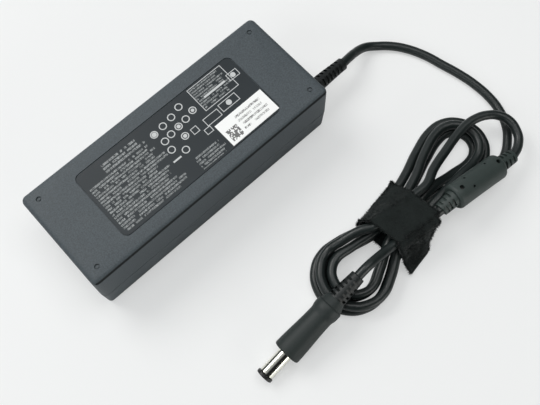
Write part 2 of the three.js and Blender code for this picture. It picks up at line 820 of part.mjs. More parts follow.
function controllerChip() {
  const { x, y, length, width, height } = fitted(chipShares);
  const body = standing(x, y, boardTop + chipLift, length, width, height);
  const leads = [];
  for (let i = 0; i < chipLeads; i += 1) {
    const place = x + (i - (chipLeads - 1) / 2) * chipPitchShare * length;
    const reach = width * (1 + 2 * chipLeadShare);
    leads.push(standing(place, y, boardTop, chipLift * 2, reach, chipLift * 2));
  }
  return join(body, ...leads);
}

function outputWire(side) {
  const start = reliefRail[0].clone();
  const y = reliefY + side * wireSpread;
  const drop = new THREE.Vector3(start.x - wireReach, y, boardTop + fitGap);
  return cordTube([
    new THREE.Vector3(start.x - fitGap, y, start.z),
    new THREE.Vector3(start.x - wireReach / 2, y, start.z - wireRadius / 2),
    drop.clone().setZ((start.z + drop.z) / 2),
    drop,
  ], wireRadius, wireSides);
}

function addCircuit() {
  const add = (name, geometry, colour, roughness, metalness) => (
    adapter.add(mesh(name, geometry, colour, roughness, metalness)));
  add('main_board', mainBoard(), colours.board, 0.5);
  add('fuse', fuse(), colours.plastic, 0.4);
  add('x_capacitor', onBoard(filmCapShares), colours.yellow, 0.5);
  add('choke_core', chokeCore(), colours.ferrite, 0.6);
  add('choke_winding', chokeShell(), colours.copper, 0.4, 0.8);
  add('primary_heatsink', heatPlate(coldPlateShares), colours.metal, 0.5, 1);
  add('secondary_heatsink', heatPlate(outputPlateShares), colours.metal, 0.5, 1);
  add('bridge_rectifier', onPlate(coldPlateShares, bridgeShares, bridgeLegShares), colours.plastic, 0.5);
  add('switching_transistor', onPlate(coldPlateShares, switchShares, switchLegShares), colours.plastic, 0.5);
  add('output_rectifier', onPlate(outputPlateShares, rectifierShares, switchLegShares), colours.plastic, 0.5);
  add('bulk_capacitor', bulkCapacitor(), colours.sleeve, 0.4);
  add('transformer_core', transformerCore(), colours.ferrite, 0.7);
  add('transformer_winding', transformerWinding(), colours.yellow, 0.5);
  outputCapShares.forEach((shares, i) => {
    const { x, y, radius, height } = fitted(shares);
    add(`output_capacitor_${i + 1}`, can(radius, height).translate(x, y, boardTop), colours.sleeve, 0.4);
  });
  add('output_choke', outputChoke(), colours.ferrite, 0.6);
  add('y_capacitor', discCapacitor(), colours.blue, 0.4);
  add('optocoupler', optocoupler(), colours.plastic, 0.5);
  add('controller_chip', controllerChip(), colours.plastic, 0.5);
  add('output_wire_positive', outputWire(1), colours.wireRed, 0.5);
  add('output_wire_negative', outputWire(-1), colours.wireBlack, 0.5);
}

// Strain relief: inner flange, neck in the port, outer collar, then the slotted taper
function dcStrainRelief() {
  const total = railLength(reliefRail);
  const neckStart = reliefFlangeThickness;
  const collarStart = neckStart + fitGap + wall + fitGap;
  const taperStart = collarStart + reliefCollarThickness;
  const stations = [
    [0, reliefFlangeRadius], [neckStart, reliefFlangeRadius], [neckStart, reliefNeckRadius],
    [collarStart, reliefNeckRadius], [collarStart, reliefCollarRadius], [taperStart, reliefCollarRadius],
    [taperStart, reliefRootRadius],
  ];
  for (let i = 1; i < reliefSlots; i += 1) {
    const share = i / reliefSlots;
    const distance = taperStart + (total - reliefEndBand - taperStart) * share;
    stations.push([distance, THREE.MathUtils.lerp(reliefRootRadius, reliefEndRadius, share)]);
  }
  stations.push([total - reliefEndBand, reliefEndRadius], [total, reliefEndRadius]);
  const cuts = reliefCuts(
    reliefRail, taperStart + slotLength, slotPitch, reliefSlots, reliefRootRadius);
  return cut(sweep(reliefRail, stations, reliefSides), ...cuts);
}

// Hank: share of the way from the waist to an eye, and the half width of a block of strands there
function openness(s) {
  if (s <= waistHigh && s >= waistLow) return 0;
  const [waist, eye] = s > 0 ? [waistHigh, upperEyeS] : [waistLow, lowerEyeS];
  return 0.5 - 0.5 * Math.cos(Math.PI * (s - waist) / (eye - waist));
}

function eyeHalfPitch() {
  return hankHalfPitch + eyeExtraPitch / 2;
}

function blockCentre(side, s) {
  const outer = s > 0 ? upperOuterRadius : lowerOuterRadius;
  const waist = side > 0 ? hankPitch : hankPitch + nearWaistExtra;
  return THREE.MathUtils.lerp(waist, outer - eyeHalfPitch(), openness(s));
}

// Sideways half pitch, wider where the strands slant so that they keep their distance
function sidewaysHalfPitch(side, s) {
  const step = fitGap;
  const slope = (blockCentre(side, s + step) - blockCentre(side, s - step)) / (2 * step);
  return (hankHalfPitch + openness(s) * eyeExtraPitch / 2) * Math.hypot(1, slope);
}

// The near side's strands stand off a little more while their block turns on its way to the upper eye
function turningSpread(side, s) {
  if (side > 0 || s < 0) return 1;
  return 1 + turningSpreadShare * 4 * openness(s) * (1 - openness(s));
}

// How far an eye is drawn in, shifted along and shifted across, for the turn that a strand is on
function eyeOf(s, quarter) {
  const eyes = s > 0 ? upperEyes : lowerEyes;
  return eyes[Math.min(Math.floor(quarter + roundingMargin), loopCount - 1)];
}

// Strand k of a block, turned by quarter turns: 0 outer low, 1 inner low, 2 inner high, 3 outer high
function strandPoint(side, s, quarter) {
  const angle = -Math.PI / 4 - quarter * Math.PI / 2;
  const turning = (quarter % 1) * Math.PI / 2;
  const open = openness(s);
  const reach = Math.SQRT2 * turningSpread(side, s);
  const low = hankHalfPitch * turningSpread(side, s) * (Math.cos(turning) + Math.sin(turning));
  const centreZ = cordFloor + low + strapLift * (1 - open);
  const across = blockCentre(side, s) + sidewaysHalfPitch(side, s) * reach * Math.cos(angle);
  const [drawnIn, along, aside] = eyeOf(s, quarter);
  return new THREE.Vector3(
    s + along * open, side * (across - drawnIn * open) + aside * open,
    centreZ + hankHalfPitch * reach * Math.sin(angle));
}

function leadEntry(s) {
  const pitch = sidewaysHalfPitch(-1, s) * turningSpread(-1, s);
  const aside = -blockCentre(-1, s) - pitch * (1 + 2 * openness(s));
  return new THREE.Vector3(s, aside, cordFloor + strapLift * (1 - openness(s)));
}

function arcPoint(eyeS, sign, turn, step) {
  const edge = strandPoint(1, eyeS, turn);
  const aside = eyeOf(eyeS, turn)[2];
  const radius = edge.y - aside;
  const angle = Math.PI * step / arcSteps - Math.PI / 2;
  return new THREE.Vector3(
    edge.x + sign * radius * Math.cos(angle), aside - sign * radius * Math.sin(angle), edge.z);
}

// Route of the hank: each loop runs down the near side, round the lower eye, up the far side
// and round the upper eye; a strand climbs to its next corner along the upper half of the near side
function hankRoute() {
  const route = [];
  const stationsUp = [1, ...upperRunShares.slice().reverse()].map((share) => (
    THREE.MathUtils.lerp(waistHigh, upperEyeS, share))).slice(1).concat(waistHigh);
  const stationsDown = [waistLow, ...lowerRunShares.map((share) => (
    THREE.MathUtils.lerp(waistLow, lowerEyeS, share)))];
  for (let turn = 0; turn < loopCount; turn += 1) {
    if (turn === 0) {
      route.push(leadEntry(hankStartS));
      route.push(leadEntry(waistHigh));
    } else {
      for (const s of stationsUp) route.push(strandPoint(-1, s, turn - openness(s)));
    }
    for (const s of stationsDown) route.push(strandPoint(-1, s, turn));
    for (let step = 0; step <= arcSteps; step += 1) route.push(arcPoint(lowerEyeS, -1, turn, step));
    if (turn === loopCount - 1) break;
    for (const s of stationsDown.slice().reverse()) route.push(strandPoint(1, s, turn));
    for (const s of stationsUp.slice().reverse()) route.push(strandPoint(1, s, turn));
    for (let step = 0; step <= arcSteps; step += 1) route.push(arcPoint(upperEyeS, 1, turn, step));
  }
  return route.concat(vectors(lastClimb), vectors([hankEnd]));
}

function leastGap(route) {
  const fine = [];
  for (let i = 1; i < route.length; i += 1) {
    for (let k = 0; k < arcSteps; k += 1) fine.push(route[i - 1].clone().lerp(route[i], k / arcSteps));
  }
  const along = [0];
  for (let i = 1; i < fine.length; i += 1) along.push(along[i - 1] + fine[i].distanceTo(fine[i - 1]));
  let least = Infinity;
  let place = fine[0];
  for (let i = 0; i < fine.length; i += 1) {
    for (let j = i + 1; j < fine.length; j += 1) {
      if (along[j] - along[i] < 3 * cordDiameter) continue;
      const gap = fine[i].distanceTo(fine[j]) - cordDiameter;
      if (gap < least) {
        least = gap;
        place = fine[i];
      }
    }
  }
  const near = place.toArray().map((v) => v.toFixed(1));
  console.log(`hank: least gap to itself ${least.toFixed(2)} mm near ${near}`);
  console.log(`hank: length ${along[along.length - 1].toFixed(0)} mm`);
}

function hankTube(route) {
  const rings = route.map((point, i) => {
    const before = route[Math.max(i - 1, 0)];
    const after = route[Math.min(i + 1, route.length - 1)];
    const frame = frameAlong(after.clone().sub(before).normalize());
    return ringAt(point, frame, cordRadius, hankSides);
  });
  return loft(rings);
}

// A point a distance past the end of a route, in line with it
function past(from, to, distance) {
  return to.clone().add(to.clone().sub(from).normalize().multiplyScalar(distance));
}

function addCords() {
  const hankPoints = hankRoute();
  leastGap(hankPoints);
  hank.add(mesh('cord_hank', hankTube(hankPoints), colours.cord, 0.5));

  const [first, second] = hankPoints;
  const reliefEnd = toHank(reliefRail[3]);
  const reliefInner = toHank(reliefRail[2]);
  const lead = [
    past(reliefInner, reliefEnd, fitGap), past(reliefInner, reliefEnd, squareRun),
    ...vectors(leadRoute), past(second, first, fitGap + squareRun), past(second, first, fitGap),
  ];
  hank.add(mesh('lead_cord', cordTube(lead), colours.cord, 0.5));

  const [beforeLast, last] = hankPoints.slice(-2);
  const rail = vectors(beadRail);
  const loop = [
    past(beforeLast, last, fitGap), past(beforeLast, last, fitGap + squareRun), ...vectors(loopRoute),
    past(rail[4], rail[5], fitGap + shortRun), past(rail[4], rail[5], fitGap),
  ];
  hank.add(mesh('loop_cord', cordTube(loop), colours.cord, 0.5));

  const axis = vectors([plugTip, plugRear]);
  const plugCord = [
    past(rail[1], rail[0], fitGap), past(rail[1], rail[0], fitGap + shortRun), ...vectors(plugRoute),
    past(axis[0], axis[1], fitGap + shortRun), past(axis[0], axis[1], fitGap),
  ];
  hank.add(mesh('plug_cord', cordTube(plugCord), colours.cord, 0.5));
  adapter.add(mesh('dc_strain_relief', dcStrainRelief(), colours.plastic, 0.6));
}

// Stations of a bead end with grooves round it
function ringedEnd(start, end, startRadius, endRadius) {
  const stations = [[start, startRadius]];
  const pitch = (end - start) / (beadRings + ringRunOut);
  for (let i = 0; i < beadRings; i += 1) {
    const near = start + (i + ringFirst) * pitch - ringGroove / 2;
    for (const [distance, deep] of [[near, 0], [near, 1], [near + ringGroove, 1], [near + ringGroove, 0]]) {
      const share = (distance - start) / (end - start);
      stations.push([distance, THREE.MathUtils.lerp(startRadius, endRadius, share) - deep * ringDepth]);
    }
  }
  return [...stations, [end, endRadius]];
}

// Ferrite bead: moulded cover with ringed ends, the ferrite tube inside it, the cord through both
function addBead() {
  const rail = vectors(beadRail);
  const left = railLength(rail.slice(0, 3));
  const right = railLength(rail.slice(0, 4));
  const total = railLength(rail);
  const middle = (left + right) / 2;
  const stations = [
    ...ringedEnd(0, left, beadReliefEnd, beadReliefRadius),
    [left, beadEndRadius], [left + beadShoulder, beadRadius],
    [right - beadShoulder, beadRadius], [right, beadEndRadius],
    ...ringedEnd(right, total, beadReliefRadius, beadReliefEnd),
  ];
  const bore = cordRadius + fitGap;
  const core = [middle - ferriteLength / 2, middle + ferriteLength / 2];
  const space = ferriteRadius + fitGap;
  const hollow = [
    [0, bore], [rail[1].distanceTo(rail[0]), bore], [left, bore], [core[0] - fitGap, bore],
    [core[0] - fitGap, space], [core[1] + fitGap, space], [core[1] + fitGap, bore], [right, bore],
    [total - rail[5].distanceTo(rail[4]), bore], [total, bore],
  ];
  const open = [past(rail[1], rail[0], overrun), ...rail, past(rail[4], rail[5], overrun)];
  const hollowOpen = hollow.map(([distance, radius]) => [distance + overrun, radius]);
  hollowOpen[0][0] = 0;
  hollowOpen[hollowOpen.length - 1][0] = total + 2 * overrun;
  const cuts = beadHoleShares.map(([share, angle]) => {
    const pin = new THREE.CylinderGeometry(beadHoleRadius, beadHoleRadius, 2 * beadHoleDepth, pinSides);
    pin.translate(0, beadRadius, 0);
    const distance = middle + share * (right - left);
    return onRail(pin, rail, distance, THREE.MathUtils.degToRad(angle));
  });
  hank.add(mesh('bead_cover',
    cut(sweep(rail, stations, beadSides), sweep(open, hollowOpen, cordSides * 2), ...cuts),
    colours.plastic, 0.55));
  const ferrite = cut(
    sweep(rail, [[core[0], ferriteRadius], [core[1], ferriteRadius]], beadSides),
    sweep(rail, [[core[0] - overrun, bore], [core[1] + overrun, bore]], cordSides * 2));
  hank.add(mesh('ferrite_core', ferrite, colours.ferrite, 0.7));
  const through = [0, rail[1].distanceTo(rail[0]), left, right, total - rail[5].distanceTo(rail[4]), total];
  hank.add(mesh('bead_cord',
    sweep(rail, through.map((distance) => [distance, cordRadius]), cordSides), colours.cord, 0.5));
}

// Plug: distances along its axis are measured from the tip
function addPlug() {
  const rail = vectors([plugTip, plugRear]);
  const total = railLength(rail);
  const bodyStart = tipRingLength + barrelShown;
  const bodyEnd = bodyStart + bodyLength;
  const collarStart = bodyEnd - shoulderLength - collarLength;
  const barrelStart = tipRingLength + fitGap;
  const barrelEnd = bodyStart + barrelHidden;
  const tube = (start, end, outer, inner) => cut(
    sweep(rail, [[start, outer], [end, outer]], plugSides),
    sweep(rail, [[start, inner], [end, inner]], plugSides));
  const ring = sweep(rail, [[0, tipRingRadius], [tipRingLength, tipRingRadius]], plugSides);
  const bore = boreThrough(rail, barrelEnd);
  hank.add(mesh('plug_tip_ring', cut(ring, bore), colours.plastic, 0.4));
  const barrel = sweep(rail, [[barrelStart, barrelRadius], [barrelEnd, barrelRadius]], plugSides);
  hank.add(mesh('plug_sleeve', cut(barrel, bore), colours.chrome, 0.15, 1));

  const body = sweep(rail, [
    [bodyStart, bodyFrontRadius - bodyRounding], [bodyStart + bodyRounding, bodyFrontRadius],
    [collarStart - flareLength, waistRadius], [collarStart, collarRadius],
    [collarStart + collarLength, collarRadius], [bodyEnd, shoulderRadius],
  ], plugSides);
  const seat = barrelRadius + fitGap;
  const socket = sweep(rail, [[bodyStart - overrun, seat], [barrelEnd + fitGap, seat]], plugSides);
  hank.add(mesh('plug_body', cut(body, socket), colours.plastic, 0.5));

  const contactRadius = barrelBore - fitGap;
  const contactStart = barrelEnd - contactLength;
  hank.add(mesh('plug_contact',
    tube(contactStart, barrelEnd, contactRadius, centrePinRadius + fitGap), colours.plastic, 0.5));
  hank.add(mesh('centre_pin',
    sweep(rail, [[centrePinRecess, centrePinRadius], [barrelEnd, centrePinRadius]], pinSides),
    colours.brass, 0.3, 1));

  const reliefStart = bodyEnd + fitGap;
  const cuts = reliefCuts(
    rail, reliefStart + plugSlotStart, plugSlotPitch, plugReliefSlots, plugReliefRoot);
  const relief = sweep(rail, [[reliefStart, plugReliefRoot], [total, plugReliefTip]], reliefSides);
  hank.add(mesh('plug_relief', cut(relief, ...cuts), colours.plastic, 0.6));
}

function boreThrough(rail, end) {
  const front = [past(rail[1], rail[0], overrun), rail[1]];
  return sweep(front, [[0, barrelBore], [end + 2 * overrun, barrelBore]], plugSides);
}

// Outline drawn tight round circles of one reach: corners of neighbouring support lines
function wrapOutline(centres, reach) {
  const support = (angle) => Math.max(...centres.map(([t, z]) => (
    t * Math.cos(angle) + z * Math.sin(angle)))) + reach;
  return Array.from({ length: strapDirections }, (_, j) => {
    const a = j * 2 * Math.PI / strapDirections;
    const b = (j + 1) * 2 * Math.PI / strapDirections;
    const ha = support(a);
    const hb = support(b);
    const scale = Math.sin(b - a);
    return [(ha * Math.sin(b) - hb * Math.sin(a)) / scale, (hb * Math.cos(a) - ha * Math.cos(b)) / scale];
  });
}

function strapCentres(s, topStrand, plugStrand) {
  const corners = [-1, 1].flatMap((side) => [0, 3].map((quarter) => strandPoint(side, s, quarter)));
  return [...corners.map((point) => [point.y, point.z]), topStrand, plugStrand];
}

// Strap round the waist, with its tail laid over the near side and down to the floor
function cordStrap() {
  const start = strapCentres(strapStart - strapFlare, topStrandAtStart, plugCordAtStart);
  const end = strapCentres(strapEnd, topStrandAtEnd, plugCordAtEnd);
  const inner = cordRadius + strapGap;
  const outer = inner + strapThickness;
  const ring = (s, centres, reach) => wrapOutline(centres, reach).map(([t, z]) => new THREE.Vector3(s, t, z));
  const band = cut(
    loft([ring(strapStart, start, outer), ring(strapEnd, end, outer)]),
    loft([ring(strapStart - overrun, start, inner), ring(strapEnd + overrun, end, inner)]));
  const share = (tailEnd - strapStart) / (strapEnd - strapStart);
  const blend = (a, b) => a.map((value, i) => THREE.MathUtils.lerp(value, b[i], share));
  const inside = wrapOutline(start, inner + strapThickness / 2)
    .map((point, j) => blend(point, wrapOutline(end, inner + strapThickness / 2)[j]));
  const outside = wrapOutline(start, outer + strapThickness)
    .map((point, j) => blend(point, wrapOutline(end, outer + strapThickness)[j]));
  const under = inside.slice(tailTopStep, tailSideStep + 1);
  const over = outside.slice(tailTopStep, tailSideStep + 1);
  const foot = over[over.length - 1];
  const footInner = under[under.length - 1];
  const flare = [foot[0] - tailFlare, tailFloor];
  const flareInner = [footInner[0] - tailFlare, tailFloor];
  const profile = [...over, flare, flareInner, ...under.slice().reverse()];
  const shape = new THREE.Shape(profile.map(([t, z]) => new THREE.Vector2(t, z)));
  const tail = new THREE.ExtrudeGeometry(shape, { depth: tailEnd - tailStart, bevelEnabled: false });
  const place = new THREE.Matrix4().makeBasis(
    new THREE.Vector3(0, 1, 0), new THREE.Vector3(0, 0, 1), new THREE.Vector3(1, 0, 0));
  tail.applyMatrix4(place).translate(tailStart, 0, 0);
  return join(band, tail);
}

addCase();
addCircuit();
addCords();
addBead();
addPlug();
hank.add(mesh('cord_strap', cordStrap(), colours.strap, 0.9));

export default adapter;
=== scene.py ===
# Laptop power adapter: its looks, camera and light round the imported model. Metres, +Z up.
import json
import math
import random

import bpy
from mathutils import Matrix, Vector, noise


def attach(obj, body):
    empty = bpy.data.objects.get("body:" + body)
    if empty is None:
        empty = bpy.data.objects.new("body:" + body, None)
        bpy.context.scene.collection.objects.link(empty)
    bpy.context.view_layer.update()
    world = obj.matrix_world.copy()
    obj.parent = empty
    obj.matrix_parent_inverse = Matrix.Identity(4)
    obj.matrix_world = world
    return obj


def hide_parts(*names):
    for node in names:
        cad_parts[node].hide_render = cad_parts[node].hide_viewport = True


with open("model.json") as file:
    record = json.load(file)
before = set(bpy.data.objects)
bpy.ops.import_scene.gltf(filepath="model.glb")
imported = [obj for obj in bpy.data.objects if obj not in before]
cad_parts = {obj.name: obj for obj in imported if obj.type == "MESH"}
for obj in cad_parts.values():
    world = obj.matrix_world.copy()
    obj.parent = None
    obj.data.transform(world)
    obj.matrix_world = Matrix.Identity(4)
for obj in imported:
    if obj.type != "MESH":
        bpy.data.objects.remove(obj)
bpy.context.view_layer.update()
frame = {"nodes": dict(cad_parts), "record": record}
mm = 0.001
tiny = 1e-9  # keeps roundings and divisions safe
softAngle = 35  # degrees; an edge that bends more than this stays sharp
body = "root"
print("frame loaded:", len(frame["nodes"]), "nodes")

# Camera at the place that the photograph was taken from
camera = {
    "place": (-0.05987, -0.13124, 0.33407),
    "right": (0.7391, -0.6734, -0.0184),
    "up": (0.637, 0.6897, 0.3443),
    "back": (-0.2192, -0.2662, 0.9387),
    "lens": 53.12,
    "sensor": 36,
    "clipStart": 0.01,
}


def addCamera():
    data = bpy.data.cameras.new("camera")
    data.lens = camera["lens"]
    data.sensor_width = camera["sensor"]
    data.clip_start = camera["clipStart"]
    view = bpy.data.objects.new("camera", data)
    axes = Matrix((camera["right"], camera["up"], camera["back"])).transposed().to_4x4()
    view.matrix_world = Matrix.Translation(camera["place"]) @ axes.to_quaternion().to_matrix().to_4x4()
    bpy.context.collection.objects.link(view)
    bpy.context.scene.camera = view


addCamera()
print("camera placed")

# Hank: its own frame turns with the tied cord; s runs along it, t across it, z up. Millimetres.
hank = {
    "x": 52,
    "y": -80.4,
    "turn": 8.3,
    "diameter": 4.2,
    "floorGap": 0.05,
    "pitch": 4.9,
    "eyeExtraPitch": 0.4,
    "waistHigh": 7,
    "waistLow": -9,
    "nearWaistExtra": 1.5,
    "upperEye": 45.6,
    "lowerEye": -30.6,
    "upperRadius": 13.8,
    "lowerRadius": 15.7,
    "strapLift": 2.05,
    "turningSpread": 0.1,
    "arcSteps": 6,
    "loops": 4,
    "upperRuns": (0.32, 0.68),
    "lowerRuns": (0.66,),
    "upperEyes": [(0, -1, -1), (0.1, -0.9, -1), (-1.9, -1.6, -1), (0, 0, 0)],
    "lowerEyes": [(0.3, -1.2, -0.2), (0.2, -0.2, -0.1), (0.7, -0.2, -1.2), (0.9, -0.1, -1.4)],
    "start": 18,
    "lastClimb": [(-24, 11, 10.1), (-17, 7.8, 12.6), (-11, 3.6, 13.9), (0, 1.2, 14), (11, -1, 13.9)],
    "end": (18, -2.2, 13.6),
    "shortStep": 0.3,
}
cordRadius = hank["diameter"] / 2
cordFloor = cordRadius + hank["floorGap"]
halfPitch = hank["pitch"] / 2
hankPlace = Matrix.Translation((hank["x"] * mm, hank["y"] * mm, 0)) @ Matrix.Rotation(
    math.radians(hank["turn"]), 4, "Z")


def lerp(a, b, share):
    return a + (b - a) * share


def smoothStep(value):
    value = min(max(value, 0), 1)
    return value * value * (3 - 2 * value)


def fromHank(points):
    return [hankPlace @ (Vector(point) * mm) for point in points]


def fromCase(points):
    return [Vector(point) * mm for point in points]


# 0 where the strap holds the strands together, 1 at an eye
def openness(s):
    if hank["waistLow"] <= s <= hank["waistHigh"]:
        return 0
    waist, eye = (hank["waistHigh"], hank["upperEye"]) if s > 0 else (hank["waistLow"], hank["lowerEye"])
    return 0.5 - 0.5 * math.cos(math.pi * (s - waist) / (eye - waist))


def blockCentre(side, s):
    outer = hank["upperRadius"] if s > 0 else hank["lowerRadius"]
    waist = hank["pitch"] + (0 if side > 0 else hank["nearWaistExtra"])
    return lerp(waist, outer - halfPitch - hank["eyeExtraPitch"] / 2, openness(s))


def sidewaysPitch(side, s):
    step = hank["shortStep"]
    slope = (blockCentre(side, s + step) - blockCentre(side, s - step)) / (2 * step)
    return (halfPitch + openness(s) * hank["eyeExtraPitch"] / 2) * math.hypot(1, slope)


def turningSpread(side, s):
    if side > 0 or s < 0:
        return 1
    return 1 + hank["turningSpread"] * 4 * openness(s) * (1 - openness(s))


# How far an eye is drawn in, shifted along and shifted across, for the turn that a strand is on
def eyeOf(s, quarter):
    eyes = hank["upperEyes"] if s > 0 else hank["lowerEyes"]
    return eyes[min(math.floor(quarter + tiny), hank["loops"] - 1)]


# A strand of a block of four, turned by quarter turns from the outer low corner
def strandPoint(side, s, quarter):
    angle = -math.pi / 4 - quarter * math.pi / 2
    turning = (quarter % 1) * math.pi / 2
    spread = turningSpread(side, s)
    low = halfPitch * spread * (math.cos(turning) + math.sin(turning))
    opened = openness(s)
    centreZ = cordFloor + low + hank["strapLift"] * (1 - opened)
    across = blockCentre(side, s) + sidewaysPitch(side, s) * math.sqrt(2) * spread * math.cos(angle)
    drawnIn, along, aside = eyeOf(s, quarter)
    return (s + along * opened, side * (across - drawnIn * opened) + aside * opened,
            centreZ + halfPitch * math.sqrt(2) * spread * math.sin(angle))


def leadEntry(s):
    pitch = sidewaysPitch(-1, s) * turningSpread(-1, s)
    across = blockCentre(-1, s) + pitch * (1 + 2 * openness(s))
    return (s, -across, cordFloor + hank["strapLift"] * (1 - openness(s)))


def arcPoints(eye, sign, turn):
    edge = strandPoint(1, eye, turn)
    aside = eyeOf(eye, turn)[2]
    radius = edge[1] - aside
    for step in range(hank["arcSteps"] + 1):
        angle = math.pi * step / hank["arcSteps"] - math.pi / 2
        yield (edge[0] + sign * radius * math.cos(angle), aside - sign * radius * math.sin(angle), edge[2])


# Each loop runs down the near side, round the lower eye, up the far side and round the upper eye
def hankRoute():
    high, low = hank["waistHigh"], hank["waistLow"]
    ups = [lerp(high, hank["upperEye"], share) for share in reversed(hank["upperRuns"])] + [high]
    downs = [low] + [lerp(low, hank["lowerEye"], share) for share in hank["lowerRuns"]]
    route = []
    for turn in range(hank["loops"]):
        if turn == 0:
            route += [leadEntry(hank["start"]), leadEntry(high)]
        else:
            route += [strandPoint(-1, s, turn - openness(s)) for s in ups]
        route += [strandPoint(-1, s, turn) for s in downs]
        route += list(arcPoints(hank["lowerEye"], -1, turn))
        if turn == hank["loops"] - 1:
            break
        route += [strandPoint(1, s, turn) for s in reversed(downs)]
        route += [strandPoint(1, s, turn) for s in reversed(ups)]
        route += list(arcPoints(hank["upperEye"], 1, turn))
    return route + hank["lastClimb"] + [hank["end"]]


# Cord from the case to the plug, one length; routes are in the hank's frame, the relief in the case's
cord = {
    "length": 1.17,
    "resolution": 7,
    "roundness": 7,
    "relief": [(58.9, -12.8, 13.4), (65.1, -12.8, 13.4), (76, -12.3, 12.3), (86, -11.9, 10.9)],
    "lead": [
        (49.1, 62.9, 9.3), (53.7, 63.0, 7.2), (58.3, 62.6, 5.1), (62.0, 61.3, 3.5), (65.3, 58.6, 2.6),
        (69.3, 54.2, 2.15), (73.0, 47.5, 2.15), (75.9, 37.5, 2.15), (76.8, 28.9, 2.15), (77.7, 19.6, 2.15),
        (77.7, 10.4, 2.15), (76.2, 1.0, 2.15), (73.9, -5.2, 2.15), (69.2, -12.3, 2.15), (63.9, -16.6, 2.15),
        (56.2, -20.1, 2.15), (46.0, -20.8, 2.15), (36.0, -19.0, 2.4), (26.5, -15.2, 3.2)],
    "loop": [
        (26.1, -0.3, 12.8), (37.0, 0.7, 12.0), (47.1, 1.2, 11.7), (52.5, 0.9, 11.7), (58.0, -0.6, 11.7),
        (62.9, -3.6, 11.5), (66.2, -7.6, 11.0), (67.3, -12.6, 10.6), (65.5, -17.7, 10.1),
        (61.7, -21.6, 9.7)],
    "bead": [
        (11.4, -13.8, 15.7), (14.8, -14.1, 16.3), (18.6, -14.9, 16.7),
        (45.6, -21.1, 11.1), (49.6, -22.3, 10.2), (54.2, -23.3, 9.8)],
    "plug": [
        (7.4, -12.8, 15.1), (3.2, -11.3, 14.6), (-2.0, -9.6, 14), (-9.0, -8.2, 13.9), (-16.0, -6.8, 14.5),
        (-22.0, -5.8, 16.2), (-28.4, -4.9, 17.8)],
    "plugTip": (-88.5, 1.3, 3.82),
    "plugRear": (-33.8, -4.3, 17),
    "plugReach": 8,
}
plugAxis = [Vector(cord["plugTip"]), Vector(cord["plugRear"])]
plugWay = (plugAxis[1] - plugAxis[0]).normalized()


def addCord():
    inPlug = plugAxis[1] - plugWay * cord["plugReach"]
    tied = cord["lead"] + hankRoute() + cord["loop"] + cord["bead"][::-1] + cord["plug"]
    route = fromCase(cord["relief"][-2:]) + fromHank(tied + [plugAxis[1], inPlug])
    data = bpy.data.curves.new("output_cord", "CURVE")
    data.dimensions = "3D"
    data.bevel_depth = cordRadius * mm
    data.bevel_resolution = cord["roundness"]
    data.resolution_u = cord["resolution"]
    data.use_fill_caps = True
    spline = data.splines.new("BEZIER")
    spline.bezier_points.add(len(route) - 1)
    for bezier, point in zip(spline.bezier_points, route):
        bezier.co = point
        bezier.handle_left_type = "AUTO"
        bezier.handle_right_type = "AUTO"
    piece = bpy.data.objects.new("output_cord", data)
    bpy.context.collection.objects.link(piece)
    return piece


outputCord = addCord()
print("cord laid:", len(outputCord.data.splines[0].bezier_points), "points")


# A line through points, smooth at each of them, with places on it by distance from its start
class Rail:
    probe = 0.2 * mm  # half the stretch that a direction is read from

    def __init__(self, points, smooth=True, steps=10):
        ends = [points[0] * 2 - points[1]] + list(points) + [points[-1] * 2 - points[-2]]
        self.points = [points[0]]
        self.knots = [0]
        for i in range(1, len(points)):
            for k in range(1, steps + 1):
                share = k / steps
                if smooth:
                    spot = bendThrough(ends[i - 1:i + 3], share)
                else:
                    spot = points[i - 1].lerp(points[i], share)
                self.points.append(spot)
            self.knots.append(len(self.points) - 1)
        self.along = [0]
        for a, b in zip(self.points, self.points[1:]):
            self.along.append(self.along[-1] + (b - a).length)
        self.length = self.along[-1]

    def knot(self, i):
        return self.along[self.knots[i]]

    def point(self, distance):
        last = len(self.points) - 2
        i = next((k for k in range(last + 1) if self.along[k + 1] >= distance), last)
        share = (distance - self.along[i]) / (self.along[i + 1] - self.along[i])
        return self.points[i].lerp(self.points[i + 1], share)

    def axes(self, distance):
        near = self.point(max(distance - self.probe, 0))
        far = self.point(min(distance + self.probe, self.length))
        along = (far - near).normalized()
        side = Vector((0, 0, 1)).cross(along).normalized()
        return along, side, along.cross(side)

    def ring(self, distance, radius, sides):
        along, side, up = self.axes(distance)
        centre = self.point(distance)
        for j in range(sides):
            angle = (j + 0.5) * 2 * math.pi / sides
            yield centre + side * radius * math.cos(angle) + up * radius * math.sin(angle)

    def frameAt(self, distance):
        along, side, up = self.axes(distance)
        turned = Matrix((along, side, up)).transposed().to_4x4()
        return Matrix.Translation(self.point(distance)) @ turned


def bendThrough(four, share):
    times = [0]
    for a, b in zip(four, four[1:]):
        times.append(times[-1] + math.sqrt(max((b - a).length, tiny)))
    t = lerp(times[1], times[2], share)

    def blend(a, b, ta, tb):
        return a * ((tb - t) / (tb - ta)) + b * ((t - ta) / (tb - ta))

    firsts = [blend(four[i], four[i + 1], times[i], times[i + 1]) for i in range(3)]
    seconds = [blend(firsts[i], firsts[i + 1], times[i], times[i + 2]) for i in range(2)]
    return blend(seconds[0], seconds[1], times[1], times[2])


# Mesh pieces
def meshPiece(name, vertices, faces, angle=softAngle):
    data = bpy.data.meshes.new(name)
    data.from_pydata([tuple(vertex) for vertex in vertices], [], faces)
    data.update()
    piece = bpy.data.objects.new(name, data)
    bpy.context.collection.objects.link(piece)
    soften(piece, angle)
    return piece


def soften(piece, angle):
    for polygon in piece.data.polygons:
        polygon.use_smooth = True
    piece.data.set_sharp_from_angle(angle=math.radians(angle))


